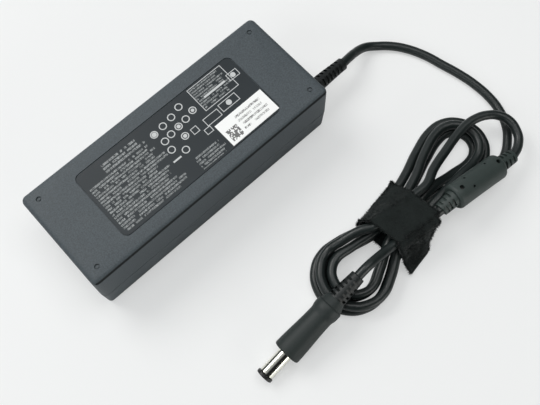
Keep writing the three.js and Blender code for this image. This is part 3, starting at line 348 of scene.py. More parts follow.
# A turned skin along a rail from (distance, radius) stations in millimetres, closed by its ends or on
# itself
def turnedPiece(name, rail, stations, sides=72, hollow=False):
    vertices = []
    for distance, radius in stations:
        vertices += list(rail.ring(distance * mm, radius * mm, sides))
    rings = len(stations)
    faces = []
    for i in range(rings if hollow else rings - 1):
        for j in range(sides):
            a, b = i * sides + j, i * sides + (j + 1) % sides
            c, d = (a + sides) % (rings * sides), (b + sides) % (rings * sides)
            faces.append((a, b, d, c))
    if not hollow:
        faces.append(tuple(range(sides))[::-1])
        faces.append(tuple(range((rings - 1) * sides, rings * sides)))
    return meshPiece(name, vertices, faces)


# Stations of a rounded corner between two radii, as a quarter circle
def corner(distance, radius, size, opening, steps=4):
    stations = []
    for k in range(steps + 1):
        angle = k / steps * math.pi / 2
        far, near = size * (1 - math.cos(angle)), size * (1 - math.sin(angle))
        stations.append((distance + far, radius - near) if opening else (distance - near, radius - far))
    return stations


# A prism along y, half of it on either side of the origin, from a ring of (x, z) points
def prism(ring, half):
    count = len(ring)
    vertices = [(x, y, z) for y in (-half, half) for x, z in ring]
    faces = [tuple(range(count)), tuple(range(count, 2 * count))[::-1]]
    for j in range(count):
        k = (j + 1) % count
        faces.append((k, j, j + count, k + count))
    return vertices, faces


# A box with softened edges, for cutting slots
def slotCutter(slot, depth):
    x, z = slot["length"] / 2, slot["width"] / 2
    a, b = x - slot["soft"], z - slot["soft"]
    return prism([(-x, -b), (-a, -z), (a, -z), (x, -b), (x, b), (a, z), (-a, z), (-x, b)], depth / 2)


def pinCutter(radius, depth, sides=24):
    angles = [2 * math.pi * j / sides for j in range(sides)]
    return prism([(radius * math.cos(angle), radius * math.sin(angle)) for angle in angles], depth)


# Cuts shapes out of a piece; each shape is its (vertices, faces) and the place that it goes to
def carve(piece, shapes):
    vertices, faces = [], []
    for (points, sides), place in shapes:
        first = len(vertices)
        vertices += [place @ (Vector(point) * mm) for point in points]
        faces += [tuple(first + index for index in side) for side in sides]
    tool = meshPiece("cutter", vertices, faces)
    rule = piece.modifiers.new("cut", "BOOLEAN")
    rule.operation = "DIFFERENCE"
    rule.solver = "EXACT"
    rule.use_self = True
    rule.object = tool
    view = bpy.context.evaluated_depsgraph_get()
    result = bpy.data.meshes.new_from_object(piece.evaluated_get(view))
    piece.modifiers.clear()
    piece.data = result
    bpy.data.objects.remove(tool)
    soften(piece, softAngle)


# Slots at even steps along a rail, four of them round each one
def slotShapes(rail, start, pitch, count, outer, slot):
    depth = 2 * (outer - cordRadius - slot["floor"])
    shapes = []
    for i in range(count):
        for quarter in range(4):
            roll = Matrix.Rotation((quarter + 0.5) * math.pi / 2, 4, "X")
            place = rail.frameAt((start + i * pitch) * mm) @ roll @ Matrix.Translation((0, outer * mm, 0))
            shapes.append((slotCutter(slot, depth), place))
    return shapes


# Strain relief in the case's end: inner flange, neck, collar, slotted taper and a plain end band.
# Flange and collar are (radius, length).
relief = {
    "flange": (5, 2.1),
    "neck": 3.5,
    "collar": (4.3, 1.3),
    "gap": 0.3,
    "wall": 2.2,
    "root": 3.7,
    "tip": 3.0,
    "band": 2.4,
    "slotStart": 1.3,
    "pitch": 2.3,
    "count": 8,
    "slot": {"length": 1.15, "floor": 0.3, "width": 3.6, "soft": 0.2},
    "round": 0.35,
    "rings": 12,
}


def addRelief():
    rail = Rail(fromCase(cord["relief"]))
    total = rail.length / mm
    neck = relief["flange"][1]
    collar = neck + 2 * relief["gap"] + relief["wall"]
    taper = collar + relief["collar"][1]
    flange = relief["flange"][0]
    stations = [(0, flange), (neck, flange), (neck, relief["neck"]), (collar, relief["neck"])]
    stations += corner(collar, relief["collar"][0], relief["round"], True)
    stations += corner(taper, relief["collar"][0], relief["round"], False) + [(taper, relief["root"])]
    for i in range(1, relief["rings"] + 1):
        share = i / relief["rings"]
        distance = lerp(taper, total - relief["band"], share)
        stations.append((distance, lerp(relief["root"], relief["tip"], share)))
    stations += corner(total, relief["tip"], relief["round"], False)
    piece = turnedPiece("case_relief", rail, stations)
    first = taper + relief["slotStart"]
    carve(piece, slotShapes(rail, first, relief["pitch"], relief["count"], relief["root"], relief["slot"]))
    return piece


caseRelief = addRelief()
print("case relief cut")

# Ferrite bead: plain middle with moulding pits, a slotted relief at both ends.
# Its rise is a row of (distance from the end face, radius), its pits are (place along, turn, radius).
bead = {
    "radius": 5.75,
    "rise": [(0, 3.75), (0, 4.85), (0.12, 5.1), (0.72, 5.63), (1.17, 5.75)],
    "root": 3.75,
    "tip": 3.15,
    "rings": 8,
    "sides": 96,
    "slots": 3,
    "spareSlots": 0.5,
    "firstSlot": 0.75,
    "slot": {"length": 1.0, "floor": 0.3, "width": 3.8, "soft": 0.15},
    "round": 0.25,
    "pits": [(-0.38, 84, 1.05), (0.41, 84, 1.05), (0.22, 54, 0.55), (-0.23, 54, 0.6), (-0.21, 112, 0.65)],
    "pitDepth": 2.4,
}


def addBead():
    rail = Rail(fromHank(cord["bead"]))
    left, right, total = rail.knot(2) / mm, rail.knot(3) / mm, rail.length / mm
    middle = (left + right) / 2
    stations = corner(0, bead["tip"], bead["round"], True)
    stations += [(left + step, radius) for step, radius in bead["rise"]]
    stations += [(lerp(left, right, k / bead["rings"]), bead["radius"]) for k in range(1, bead["rings"])]
    stations += [(right - step, radius) for step, radius in bead["rise"][::-1]]
    stations += corner(total, bead["tip"], bead["round"], False)
    piece = turnedPiece("bead_moulding", rail, stations, bead["sides"])
    shapes = []
    for share, angle, radius in bead["pits"]:
        roll = Matrix.Rotation(math.radians(angle), 4, "X")
        lift = Matrix.Translation((0, bead["radius"] * mm, 0))
        place = rail.frameAt((middle + share * (right - left)) * mm) @ roll @ lift
        shapes.append((pinCutter(radius, bead["pitDepth"]), place))
    for start, end in ((0, left), (right, total)):
        pitch = (end - start) / (bead["slots"] + bead["spareSlots"])
        first = start + bead["firstSlot"] * pitch
        shapes += slotShapes(rail, first, pitch, bead["slots"], bead["root"], bead["slot"])
    carve(piece, shapes)
    return piece


beadMoulding = addBead()
print("bead cut")

# Plug: distances run from its tip along its axis. Ring, collar and shoulder are (radius, length);
# nose and step are rows of (distance on, radius less) at the front face and behind the collar.
plug = {
    "ring": (3.72, 1.4),
    "ringEase": (0.25, 0.15),
    "barrel": 3.15,
    "barrelEase": 0.2,
    "bore": 2.5,
    "shown": 11.9,
    "hidden": 8,
    "seatGap": 0.1,
    "mouth": (0.4, 0.35),
    "body": 30.2,
    "front": 6.15,
    "nose": [(0, 0.75), (0.12, 0.4), (0.45, 0.1)],
    "noseLength": 0.95,
    "waist": 5.35,
    "waistCurve": 0.9,
    "flare": 3.2,
    "collar": (5.9, 2.6),
    "step": [(-0.4, 0), (0, 0.2), (0.25, 0.6)],
    "shoulder": (4.15, 3.7),
    "root": 4.05,
    "hiddenRoot": 2.43,
    "tip": 3.15,
    "tipEase": 0.3,
    "gap": 0.3,
    "seam": 0.03,
    "rings": {"barrel": 6, "taper": 12, "flare": 6, "shoulder": 4, "tail": 10},
    "sides": {"ring": 96, "barrel": 128, "handle": 96},
    "slot": {"length": 1.1, "floor": 0.3, "width": 4.0, "soft": 0.15},
    "pitch": 2.2,
    "count": 5,
    "slotStart": 1.1,
}


# Stations from one (distance, radius) to another, with the first left out where it stands already
def run(first, last, count, start=1, curve=lambda share: share):
    shares = [k / count for k in range(start, count + 1)]
    return [(lerp(first[0], last[0], share), lerp(first[1], last[1], curve(share))) for share in shares]


def ringStations():
    radius, end = plug["ring"]
    front, back = plug["ringEase"]
    return [
        (0, plug["bore"]), (0, radius - front), (front, radius),
        (end - back, radius), (end, radius - back), (end, plug["bore"])]


def barrelStations(start):
    near, far = plug["ring"][1] + plug["gap"], start + plug["hidden"]
    ease, radius = plug["barrelEase"], plug["barrel"]
    middle = run((near + ease, radius), (far, radius), plug["rings"]["barrel"], start=0)
    return [(near, plug["bore"]), (near, radius - ease)] + middle + [(far, plug["bore"])]


def handleStations(start, end):
    seat, seatEnd = plug["barrel"] + plug["seatGap"], start + plug["hidden"] + plug["gap"]
    front, waist = plug["front"], plug["waist"]
    wide, collar = plug["collar"]
    narrow, shoulder = plug["shoulder"]
    deep, flared = plug["mouth"]
    back = end - shoulder
    waistAt = back - collar - plug["flare"]
    stations = [(seatEnd, seat / 2), (seatEnd, seat), (start + deep, seat), (start, seat + flared)]
    stations += [(start + on, front - less) for on, less in plug["nose"]]
    stations += run((start + plug["noseLength"], front), (waistAt, waist), plug["rings"]["taper"], start=0,
                    curve=lambda share: smoothStep(share) ** plug["waistCurve"])
    stations += run((waistAt, waist), (back - collar, wide), plug["rings"]["flare"], curve=smoothStep)
    stations += [(back + on, wide - less) for on, less in plug["step"]]
    return stations + run(stations[-1], (end, narrow), plug["rings"]["shoulder"])


def tailStations(tail, total):
    ease = plug["tipEase"]
    taper = run((tail, plug["root"]), (total - ease, plug["tip"]), plug["rings"]["tail"], start=0)
    return [(tail, plug["hiddenRoot"])] + taper + [(total, plug["tip"] - ease)]


def addPlug():
    rail = Rail(fromHank(plugAxis), smooth=False, steps=2)
    total = rail.length / mm
    start = plug["ring"][1] + plug["shown"]
    end = start + plug["body"]
    tail = end + plug["seam"]
    sides = plug["sides"]
    ring = turnedPiece("tip_ring", rail, ringStations(), sides["ring"], hollow=True)
    metal = turnedPiece("barrel", rail, barrelStations(start), sides["barrel"], hollow=True)
    handle = turnedPiece("plug_handle", rail, handleStations(start, end), sides["handle"])
    sleeve = turnedPiece("plug_tail", rail, tailStations(tail, total))
    first = tail + plug["slotStart"]
    carve(sleeve, slotShapes(rail, first, plug["pitch"], plug["count"], plug["root"], plug["slot"]))
    return ring, metal, handle, sleeve


tipRing, barrel, plugHandle, plugTail = addPlug()
print("plug turned")

# Strap: once round the waist and over itself, its loose end laid down to the floor on the near side.
# Edges are rows of (turn, s of the lower edge, s of the upper edge). Two strands on top are given as
# (t, z) at the lowest and the highest s. Climb is where the turn goes on top of itself, and layers says
# how high, in thicknesses.
strap = {
    "thickness": 1.1,
    "solidShare": 0.92,
    "gap": 0.1,
    "from": 150,
    "turns": 385,
    "drop": 70,
    "climb": (328, 362),
    "layers": (0.5, 1.55),
    "wrapped": 0.85,
    "lowest": -13,
    "highest": 8.3,
    "topStrand": [(5.2, 13.3), (-0.5, 14)],
    "plugStrand": [(-7.3, 14.0), (-12.9, 14.9)],
    "edges": [
        (0, -13.4, 7.0), (150, -12.8, 8.4), (220, -11.9, 11.2), (290, -11.7, 9.9), (320, -11.9, 8.6),
        (345, -12.8, 7.2), (385, -13.8, 6.2), (455, -14.4, -2.4)],
    "foot": [(-19.9, 0.85), (-19.6, 0.85)],
    "bulge": 0.9,
    "easing": (3, 3),
    "columns": 44,
    "rows": 150,
    "smoothAngle": 60,
    "ripple": 0.6,
    "rippleScales": [(0.22, 1), (0.7, 0.5)],
    "stillBelow": 1.5,
    "ragged": 0.6,
    "raggedScale": (0.05, 6, 3, 4),
    "flat": (0.0206, 0.103),
    "flatArea": 0.00203,
}


# Centres of the strands that the strap lies on, as (t, z)
def strandCentres(s):
    corners = [strandPoint(side, s, quarter) for side in (-1, 1) for quarter in (0, 3)]
    share = (s - strap["lowest"]) / (strap["highest"] - strap["lowest"])
    crests = [Vector(low).lerp(Vector(high), share) for low, high in (
        strap["topStrand"], strap["plugStrand"])]
    return [(point[1], point[2]) for point in corners] + [tuple(crest) for crest in crests]


# Where a line tight round circles of one reach is met in a direction, its corners eased
def wrapPoint(centres, reach, angle):
    degrees, spread = strap["easing"]
    step = math.radians(degrees)

    def support(a):
        return max(t * math.cos(a) + z * math.sin(a) for t, z in centres) + reach

    total = Vector((0, 0))
    for k in range(-spread, spread + 1):
        a, b = angle + (k - 0.5) * step, angle + (k + 0.5) * step
        ha, hb = support(a), support(b)
        t, z = ha * math.sin(b) - hb * math.sin(a), hb * math.cos(a) - ha * math.cos(b)
        total += Vector((t, z)) / math.sin(b - a)
    return total / (2 * spread + 1)


def edgesAt(turn):
    rows = strap["edges"]
    i = next((k for k in range(len(rows) - 2) if rows[k + 1][0] >= turn), len(rows) - 2)
    share = (turn - rows[i][0]) / (rows[i + 1][0] - rows[i][0])
    return [lerp(rows[i][k], rows[i + 1][k], share) for k in (1, 2)]


def strapPoint(share, across):
    wrapped = strap["wrapped"]
    turn = min(share / wrapped, 1) * strap["turns"]
    rest = max(share - wrapped, 0) / (1 - wrapped)
    climbStart, climbEnd = strap["climb"]
    layer = lerp(*strap["layers"], smoothStep((turn - climbStart) / (climbEnd - climbStart)))
    low, high = edgesAt(turn + rest * strap["drop"])
    perTurn, perRest, perAcross, shift = strap["raggedScale"]
    rough = noise.noise(Vector((turn * perTurn + rest * perRest, across * perAcross, shift)))
    s = lerp(low, high, across) + rough * strap["ragged"]
    reach = cordRadius + strap["gap"] + strap["thickness"] * layer
    spot = wrapPoint(strandCentres(s), reach, math.radians(strap["from"] + turn))
    if rest:
        foot = Vector(strap["foot"][0]).lerp(Vector(strap["foot"][1]), across)
        knee = Vector((spot.x - strap["bulge"], (spot.y + foot.y) / 2))
        spot = spot.lerp(knee, rest).lerp(knee.lerp(foot, rest), rest)
    return Vector((s, spot.x, spot.y))


def addStrap():
    rows, columns = strap["rows"], strap["columns"]
    grid = [[strapPoint(i / rows, j / columns) for j in range(columns + 1)] for i in range(rows + 1)]
    faces = []
    for i in range(rows):
        for j in range(columns):
            a = i * (columns + 1) + j
            faces.append((a, a + 1, a + columns + 2, a + columns + 1))
    points = fromHank([point for line in grid for point in line])
    piece = meshPiece("strap_band", points, faces, strap["smoothAngle"])
    ways = [vertex.normal.copy() for vertex in piece.data.vertices]
    for i, (vertex, way) in enumerate(zip(piece.data.vertices, ways)):
        spot = grid[i // (columns + 1)][i % (columns + 1)]
        push = sum(noise.noise(spot * scale) * share for scale, share in strap["rippleScales"])
        if spot.z > strap["stillBelow"]:
            vertex.co += way * push * strap["ripple"] * mm
    thick = piece.modifiers.new("thickness", "SOLIDIFY")
    thick.thickness = strap["thickness"] * strap["solidShare"] * mm
    thick.offset = 0
    return piece, grid


strapBand, strapGrid = addStrap()
print("strap wrapped")


def gridPoint(i, j):
    a, b = int(i), int(j)
    low = strapGrid[a][b].lerp(strapGrid[a + 1][b], i - a)
    return low.lerp(strapGrid[a][b + 1].lerp(strapGrid[a + 1][b + 1], i - a), j - b)


# Loops of the pile that stand off the outer face and along the edges, as thin bent blades.
# Those at the edges lean outwards too, and heart is the (t, z) that all of them point away from.
pile = {
    "seed": 11,
    "count": 14000,
    "spareSteps": 1.01,
    "atEdges": 0.4,
    "bareStart": 0.2,
    "heart": (-2, 8),
    "upwards": (0.2, 1),
    "outwards": (0.2, 1.1),
    "lean": (0.6, 0.5),
    "rootOnFace": 0.9,
    "rootOnEdge": 0.2,
    "length": (0.5, 1.5),
    "faceShare": 0.6,
    "width": 0.1,
    "bend": {"at": 0.6, "lean": 0.1, "width": 0.7},
    "tipLean": 0.22,
    "floorGap": 0.1,
    "smoothAngle": 180,
}


def addPile():
    chance = random.Random(pile["seed"])
    rows, columns = strap["rows"] - pile["spareSteps"], strap["columns"] - pile["spareSteps"]
    half = strap["thickness"] * strap["solidShare"] / 2
    bend = pile["bend"]
    vertices, faces = [], []
    for k in range(pile["count"]):
        edge = chance.random() < pile["atEdges"]
        i = chance.uniform(rows * pile["bareStart"], rows)
        j = chance.uniform(0, columns)
        if edge:
            j = float(chance.choice((0, columns)))
        spot = gridPoint(i, j)
        along = (gridPoint(i + 1, j) - spot).normalized()
        across = (gridPoint(i, j + 1) - spot).normalized()
        out = across.cross(along).normalized()
        if out.dot(Vector((0, spot.y - pile["heart"][0], spot.z - pile["heart"][1]))) < 0:
            out = -out
        outward = across * (1 if j > columns / 2 else -1) if edge else Vector()
        lean = Vector([chance.gauss(0, pile["lean"][0]) for _ in range(3)])
        way = out * chance.uniform(*pile["upwards"]) + outward * chance.uniform(*pile["outwards"])
        way = (way + lean * pile["lean"][1]).normalized()
        base = spot + out * half * chance.uniform(pile["rootOnEdge"] if edge else pile["rootOnFace"], 1)
        tall = chance.uniform(*pile["length"]) * (1 if edge else pile["faceShare"])
        width = along * chance.uniform(-1, 1) + across * chance.uniform(-1, 1)
        width = width.normalized() * pile["width"]
        middle = base + way * tall * bend["at"] + lean * bend["lean"]
        tip = base + way * tall + lean * pile["tipLean"]
        if min(base.z, middle.z, tip.z) < pile["floorGap"]:
            continue
        first = len(vertices)
        narrow = width * bend["width"]
        vertices += [base - width, base + width, middle + narrow, middle - narrow, tip]
        faces += [(first, first + 1, first + 2, first + 3), (first + 3, first + 2, first + 4)]
    return meshPiece("strap_pile", fromHank(vertices), faces, pile["smoothAngle"])


strapPile = addPile()
print("strap pile:", len(strapPile.data.polygons), "faces")


# Materials: a socket that stands in an expression, and a finish that makes its nodes
class Wire:
    def __init__(self, finish, socket):
        self.finish = finish
        self.socket = socket

    def math(self, operation, *values):
        inputs = dict(enumerate(values))
        return self.finish.node("ShaderNodeMath", {"operation": operation}, inputs)

    def __add__(self, other):
        return self.math("ADD", self, other)

    def __mul__(self, other):
        return self.math("MULTIPLY", self, other)

    def __sub__(self, other):
        return self.math("SUBTRACT", self, other)

    def __rsub__(self, other):
        return self.math("SUBTRACT", other, self)

    def __truediv__(self, other):
        return self.math("DIVIDE", self, other)

    def __pow__(self, other):
        return self.math("POWER", self, other)

    def __gt__(self, other):
        return self.math("GREATER_THAN", self, other)

    def __lt__(self, other):
        return self.math("LESS_THAN", self, other)

    def floor(self):
        return self.math("FLOOR", self)

    def fract(self):
        return self.math("FRACT", self)

    def size(self):
        return self.math("ABSOLUTE", self)

    def most(self, other):
        return self.math("MAXIMUM", self, other)

    def within(self, low, high):
        return (self > low) * (self < high)


class Finish:
    end = "ShaderNodeOutputMaterial"

    def __init__(self, name):
        self.material = bpy.data.materials.new(name)
        self.begin()
        spot = self.node("ShaderNodeTexCoord", output="Object")
        self.place = self.node("ShaderNodeVectorMath", {"operation": "SCALE"}, {0: spot, "Scale": 1 / mm})

    def begin(self):
        self.material.use_nodes = True
        self.tree = self.material.node_tree
        self.tree.nodes.clear()

    def feed(self, socket, value):
        if isinstance(value, Wire):
            self.tree.links.new(value.socket, socket)
        elif isinstance(value, (tuple, list)) and socket.type == "RGBA" and len(value) == 3:
            socket.default_value = (*value, 1)
        else:
            socket.default_value = value

    def node(self, kind, settings=None, inputs=None, output=0):
        node = self.tree.nodes.new(kind)
        for key, value in (settings or {}).items():
            if key == "stops":
                self.setStops(node.color_ramp, value)
            else:
                setattr(node, key, value)
        for key, value in (inputs or {}).items():
            self.feed(node.inputs[key], value)
        return Wire(self, node.outputs[output])

    def setStops(self, ramp, stops):
        while len(ramp.elements) < len(stops):
            ramp.elements.new(1)
        for element, (position, level) in zip(ramp.elements, stops):
            element.position = position
            element.color = (level, level, level, 1)

    def noise(self, scale, detail, roughness, stretch=None):
        spot = self.place
        if stretch:
            spot = self.node("ShaderNodeVectorMath", {"operation": "MULTIPLY"}, {0: spot, 1: stretch})
        return self.node("ShaderNodeTexNoise", {}, {
            "Vector": spot, "Scale": scale, "Detail": detail, "Roughness": roughness}, "Fac")

    def ramp(self, value, *stops):
        return self.node("ShaderNodeValToRGB", {"stops": stops}, {"Fac": value}, "Color")

    def mix(self, share, first, second):
        return self.node("ShaderNodeMix", {"data_type": "RGBA"}, {0: share, 6: first, 7: second}, 2)

    def axes(self):
        return [self.node("ShaderNodeSeparateXYZ", {}, {0: self.place}, name) for name in "XYZ"]

    def dice(self, *values):
        spot = self.node("ShaderNodeCombineXYZ", {}, dict(enumerate(values)))
        return self.node("ShaderNodeTexWhiteNoise", {"noise_dimensions": "3D"}, {"Vector": spot}, "Value")

    # 1 where the camera sees it straight, 0 where it only lights or is mirrored
    def seen(self):
        return self.node("ShaderNodeLightPath", output="Is Camera Ray")

    def bump(self, height, strength, depth):
        return self.node("ShaderNodeBump", {}, {
            "Strength": strength, "Distance": depth * mm, "Height": height}, "Normal")

    def surface(self, **inputs):
        names = {key.replace("_", " "): value for key, value in inputs.items()}
        self.show(self.node("ShaderNodeBsdfPrincipled", {}, names, "BSDF"))
        return self.material

    def show(self, shader):
        end = self.tree.nodes.new(self.end)
        self.tree.links.new(shader.socket, end.inputs["Surface"])


# The sky round the stage, whose place is the direction looked in
class Sky(Finish):
    end = "ShaderNodeOutputWorld"

    def __init__(self, name):
        self.material = bpy.data.worlds.new(name)
        self.begin()
        self.place = self.node("ShaderNodeTexCoord", output="Generated")


def shade(colour, factor):
    return tuple(min(channel * factor, 1) for channel in colour)


# Moulded and extruded plastics and rubbers, by slot; edge is a painted reflection: a dark line painted into
# the colour along one side of the case, where the rounded corner mirrors the unlit part of the room
plastics = {
    "case_plastic": {
        "colour": (0.053, 0.066, 0.074), "rough": 0.55, "grain": 1.6, "depth": 0.06, "mottle": 0.14,
        "speck": 2.4,
        # edge: painted reflection, a dark line along the case's near top corner
        "edge": {
            "side": -24.1, "middle": 30.9, "half": 0.65, "full": 0.5, "rough": 0.3,
            "colour": (0.005, 0.007, 0.008)}},
    "inlet_plastic": {"colour": (0.02, 0.021, 0.022), "rough": 0.4, "grain": 2.5, "depth": 0.015},
    "package_plastic": {"colour": (0.02, 0.02, 0.021), "rough": 0.55, "grain": 4, "depth": 0.02},
    "relief_plastic": {"colour": (0.007, 0.0095, 0.0095), "rough": 0.46, "grain": 3, "depth": 0.02},
    "cord_jacket": {
        "colour": (0.011, 0.0155, 0.015), "rough": 0.36, "grain": 1.6, "depth": 0.02, "streak": 0.22},
    "bead_plastic": {"colour": (0.029, 0.04, 0.037), "rough": 0.5, "grain": 2.6, "depth": 0.02},
    "plug_plastic": {"colour": (0.016, 0.022, 0.021), "rough": 0.55, "grain": 2.4, "depth": 0.02},
    "tip_plastic": {"colour": (0.015, 0.015, 0.015), "rough": 0.35, "grain": 3, "depth": 0.01},
    "film_box": {"colour": (0.66, 0.47, 0.06), "rough": 0.4, "grain": 2, "depth": 0.02},
    "capacitor_sleeve": {"colour": (0.02, 0.035, 0.1), "rough": 0.3, "grain": 0.8, "depth": 0.02},
    "winding_tape": {"colour": (0.7, 0.52, 0.08), "rough": 0.35, "grain": 0.6, "depth": 0.04},
    "disc_ceramic": {"colour": (0.05, 0.16, 0.4), "rough": 0.35, "grain": 1.2, "depth": 0.03},
    "wire_red": {"colour": (0.42, 0.03, 0.02), "rough": 0.4, "grain": 1.5, "depth": 0.01},
    "wire_black": {"colour": (0.012, 0.012, 0.012), "rough": 0.4, "grain": 1.5, "depth": 0.01},
    "insulating_film": {"colour": (0.7, 0.66, 0.54), "rough": 0.35, "grain": 0.4, "depth": 0.02},
    "ferrite": {"colour": (0.04, 0.037, 0.035), "rough": 0.65, "grain": 5, "depth": 0.05},
}

# Metals, by slot
metals = {
    "shield_foil": {"colour": (0.75, 0.76, 0.77), "rough": 0.35, "stretch": (0.2, 3, 1)},
    "pin_brass": {"colour": (0.72, 0.6, 0.36), "rough": 0.25, "stretch": (3, 1, 1)},
    "copper_wire": {"colour": (0.6, 0.25, 0.09), "rough": 0.3, "stretch": (1, 1, 4)},
    "heatsink_aluminium": {"colour": (0.7, 0.71, 0.72), "rough": 0.42, "stretch": (0.3, 1, 4)},
    "plug_chrome": {"colour": (0.86, 0.85, 0.76), "rough": 0.12, "stretch": (1.5, 1.5, 1.5)},
}


# What the plastics share. Here and below a noise is (scale, detail, roughness), shades are factors on the
# colour, bump is (strength, depth), and a value named shine says how much a noise moves the roughness.
moulded = {
    "cloud": (0.09, 3, 0.5),
    "fine": (3, 0.6),
    "lines": (0.8, 2, 0.5),
    "shades": (0.72, 1.32),
    "cloudShine": 0.12,
    "grainShine": 0.1,
    "lineHeight": 2,
    "strength": 0.6,
    "specular": 0.35,
    "mottle": 0.12,
}


def plasticFinish(name, colour, rough, grain, depth, mottle=None, speck=0, streak=0, edge=None):
    finish = Finish(name)
    mottle = mottle or moulded["mottle"]
    cloud = finish.noise(*moulded["cloud"])
    fine = finish.noise(grain, *moulded["fine"])
    share = (cloud - 0.5) * mottle + (fine - 0.5) * speck + 0.5
    dark, light = (shade(colour, factor) for factor in moulded["shades"])
    base = finish.mix(share, dark, light)
    shine = (cloud - 0.5) * moulded["cloudShine"] + (fine - 0.5) * moulded["grainShine"] + rough
    height = fine
    if streak:
        lines = finish.noise(*moulded["lines"])
        shine = shine + (lines - 0.5) * streak
        height = fine + lines * moulded["lineHeight"]
    # Painted reflection: the base colour turns dark and the roughness rises in a narrow band on the near
    # (-Y) side, where the corner mirrors the unlit part of the room
    if edge:
        x, y, z = finish.axes()
        away = (z - edge["middle"]).size() / edge["half"]
        line = finish.ramp(away, (edge["full"], 1), (1, 0)) * (y < edge["side"])
        base = finish.mix(line, base, edge["colour"])
        shine = shine + line * edge["rough"]
    return finish.surface(
        Base_Color=base, Roughness=shine, Specular_IOR_Level=moulded["specular"],
        Normal=finish.bump(height, moulded["strength"], depth))


# What the metals share: drawn lines, stretched by each metal's own factors, and soft spots
drawn = {
    "lines": (1.2, 3, 0.6),
    "spots": (0.25, 2, 0.5),
    "shades": (0.9, 1.06),
    "lineShine": 0.16,
    "spotShine": 0.1,
    "bump": (0.25, 0.01),
}


def metalFinish(name, colour, rough, stretch):
    finish = Finish(name)
    lines = finish.noise(*drawn["lines"], stretch)
    spots = finish.noise(*drawn["spots"])
    base = finish.mix(spots, *(shade(colour, factor) for factor in drawn["shades"]))
    shine = (lines - 0.5) * drawn["lineShine"] + (spots - 0.5) * drawn["spotShine"] + rough
    return finish.surface(
        Base_Color=base, Roughness=shine, Metallic=1.0, Normal=finish.bump(lines, *drawn["bump"]))


# Board: lanes of copper under a green mask, stepped from block to block
board = {
    "mask": (0.02, 0.13, 0.045),
    "copper": (0.035, 0.2, 0.07),
    "lanes": 0.55,
    "blocks": 0.11,
    "step": 0.5,
    "lane": (0.2, 0.55),
    "rough": (0.42, -0.06),
    "bump": (0.5, 0.03),
}


def boardFinish(name):
    finish = Finish(name)
    x, y, z = finish.axes()
    block = (x * board["blocks"]).floor()
    lane = (y * board["lanes"] + block * board["step"]).fract().within(*board["lane"])
    base = finish.mix(lane, board["mask"], board["copper"])
    shine = lane * board["rough"][1] + board["rough"][0]
    return finish.surface(Base_Color=base, Roughness=shine, Normal=finish.bump(lane, *board["bump"]))


# Print that stands in for words: rows of glyph-sized marks. Strokes and words are marks per millimetre,
# gaps are the shares left empty, and each draw of chance has a seed of its own.
printing = {
    "faintest": 0.5,
    "strokes": (3, 4),
    "strokeGaps": 0.3,
    "words": (0.9, 1.7),
    "wordGaps": 0.14,
    "dotGaps": 0.48,
    "seeds": {"glyph": 3, "word": 7, "end": (1, 5), "dots": 2},
}

# Label: a satin plate printed with plain dashes, rings and boxes. Places are (x, y), boxes and bars are
# (x, y, length, width) and spots (x, y, radius), all in millimetres.
label = {
    "ground": (0.017, 0.023, 0.027),
    "ink": (0.62, 0.64, 0.64),
    "faint": (0.36, 0.38, 0.38),
    "shades": (0.9, 1.12),
    "cloud": (0.12, 3, 0.5),
    "fine": (4, 2, 0.5),
    "rough": 0.42,
    "cloudShine": 0.14,
    "fineShine": 0.06,
    "specular": 0.25,
    "cover": 0.85,
    "wear": 0.5,
    "inkHeight": 0.5,
    "bump": (0.3, 0.01),
    "areas": [
        {"x": (-40, -6), "y": (-16.2, 8.6), "pitch": 1.46, "tall": 0.62, "glyph": 1.5, "ragged": 7},
        {"x": (-30, -8), "y": (9, 14.2), "pitch": 1.7, "tall": 0.62, "glyph": 1.2, "ragged": 6},
        {"x": (19, 36.5), "y": (3.6, 15.6), "pitch": 1.3, "tall": 0.6, "glyph": 1.7, "ragged": 4},
        {"x": (0.5, 16.2), "y": (-16.6, -9.8), "pitch": 1.5, "tall": 0.6, "glyph": 1.6, "ragged": 5}],
    "rings": [
        (-4.6, 9.6), (0.6, 10.2), (5.8, 11.0), (11.2, 12.6), (0.8, 5.0), (5.4, 5.6), (9.8, 6.2),
        (14.6, 7.4), (-3.2, 4.2), (-3.6, -0.6), (4.6, 0.4), (0.8, -4.6)],
    "ringSize": 1.75,
    "ringWidth": 0.45,
    "boxes": [
        (18.6, -0.9, 8.0, 4.0), (28.4, -0.2, 9.4, 4.2), (38.4, 8.6, 5.6, 3.6), (9.4, -0.4, 3.2, 3.2),
        (13.6, -4.4, 3.4, 3.0), (27.8, 9.6, 18.6, 13.0)],
    "spots": [
        (-4.6, 9.6, 1.1), (5.4, 5.6, 0.9), (28.4, -0.2, 1.3), (4.6, 0.4, 0.9), (38.4, 8.6, 1.2),
        (14.6, 7.4, 0.8)],
    "boxWidth": 0.32,
    "bars": [(28.0, 8.6, 11.6, 1.0), (-4.6, -5.6, 4.2, 0.8)],
}


# Rows of marks in one area, gathered into words, with ragged ends
def dashes(finish, x, y, area):
    seeds, least = printing["seeds"], printing["faintest"]
    down = (area["y"][1] - y) / area["pitch"]
    row = down.floor()
    high = down.fract().within(0.5 - area["tall"] / 2, 0.5 + area["tall"] / 2)
    glyph = finish.dice((x * area["glyph"]).floor(), row, seeds["glyph"]) * (1 - least) + least
    wide, tall = printing["strokes"]
    stroke = finish.dice((x * area["glyph"] * wide).floor(), (y * tall).floor(), row)
    length, shift = printing["words"]
    word = finish.dice((x * length + row * shift).floor(), row, seeds["word"])
    end = area["x"][1] - finish.dice(row, *seeds["end"]) * area["ragged"]
    inside = x.within(*area["x"]) * y.within(*area["y"]) * (x < end)
    return high * glyph * (stroke > printing["strokeGaps"]) * (word > printing["wordGaps"]) * inside


def ringMask(x, y, centre, size, width):
    away = ((x - centre[0]) ** 2 + (y - centre[1]) ** 2) ** 0.5
    return away.within(size - width, size)


def boxMask(x, y, place, width):
    across = ((x - place[0]).size() - place[2] / 2).most((y - place[1]).size() - place[3] / 2)
    return across.within(-width, 0)


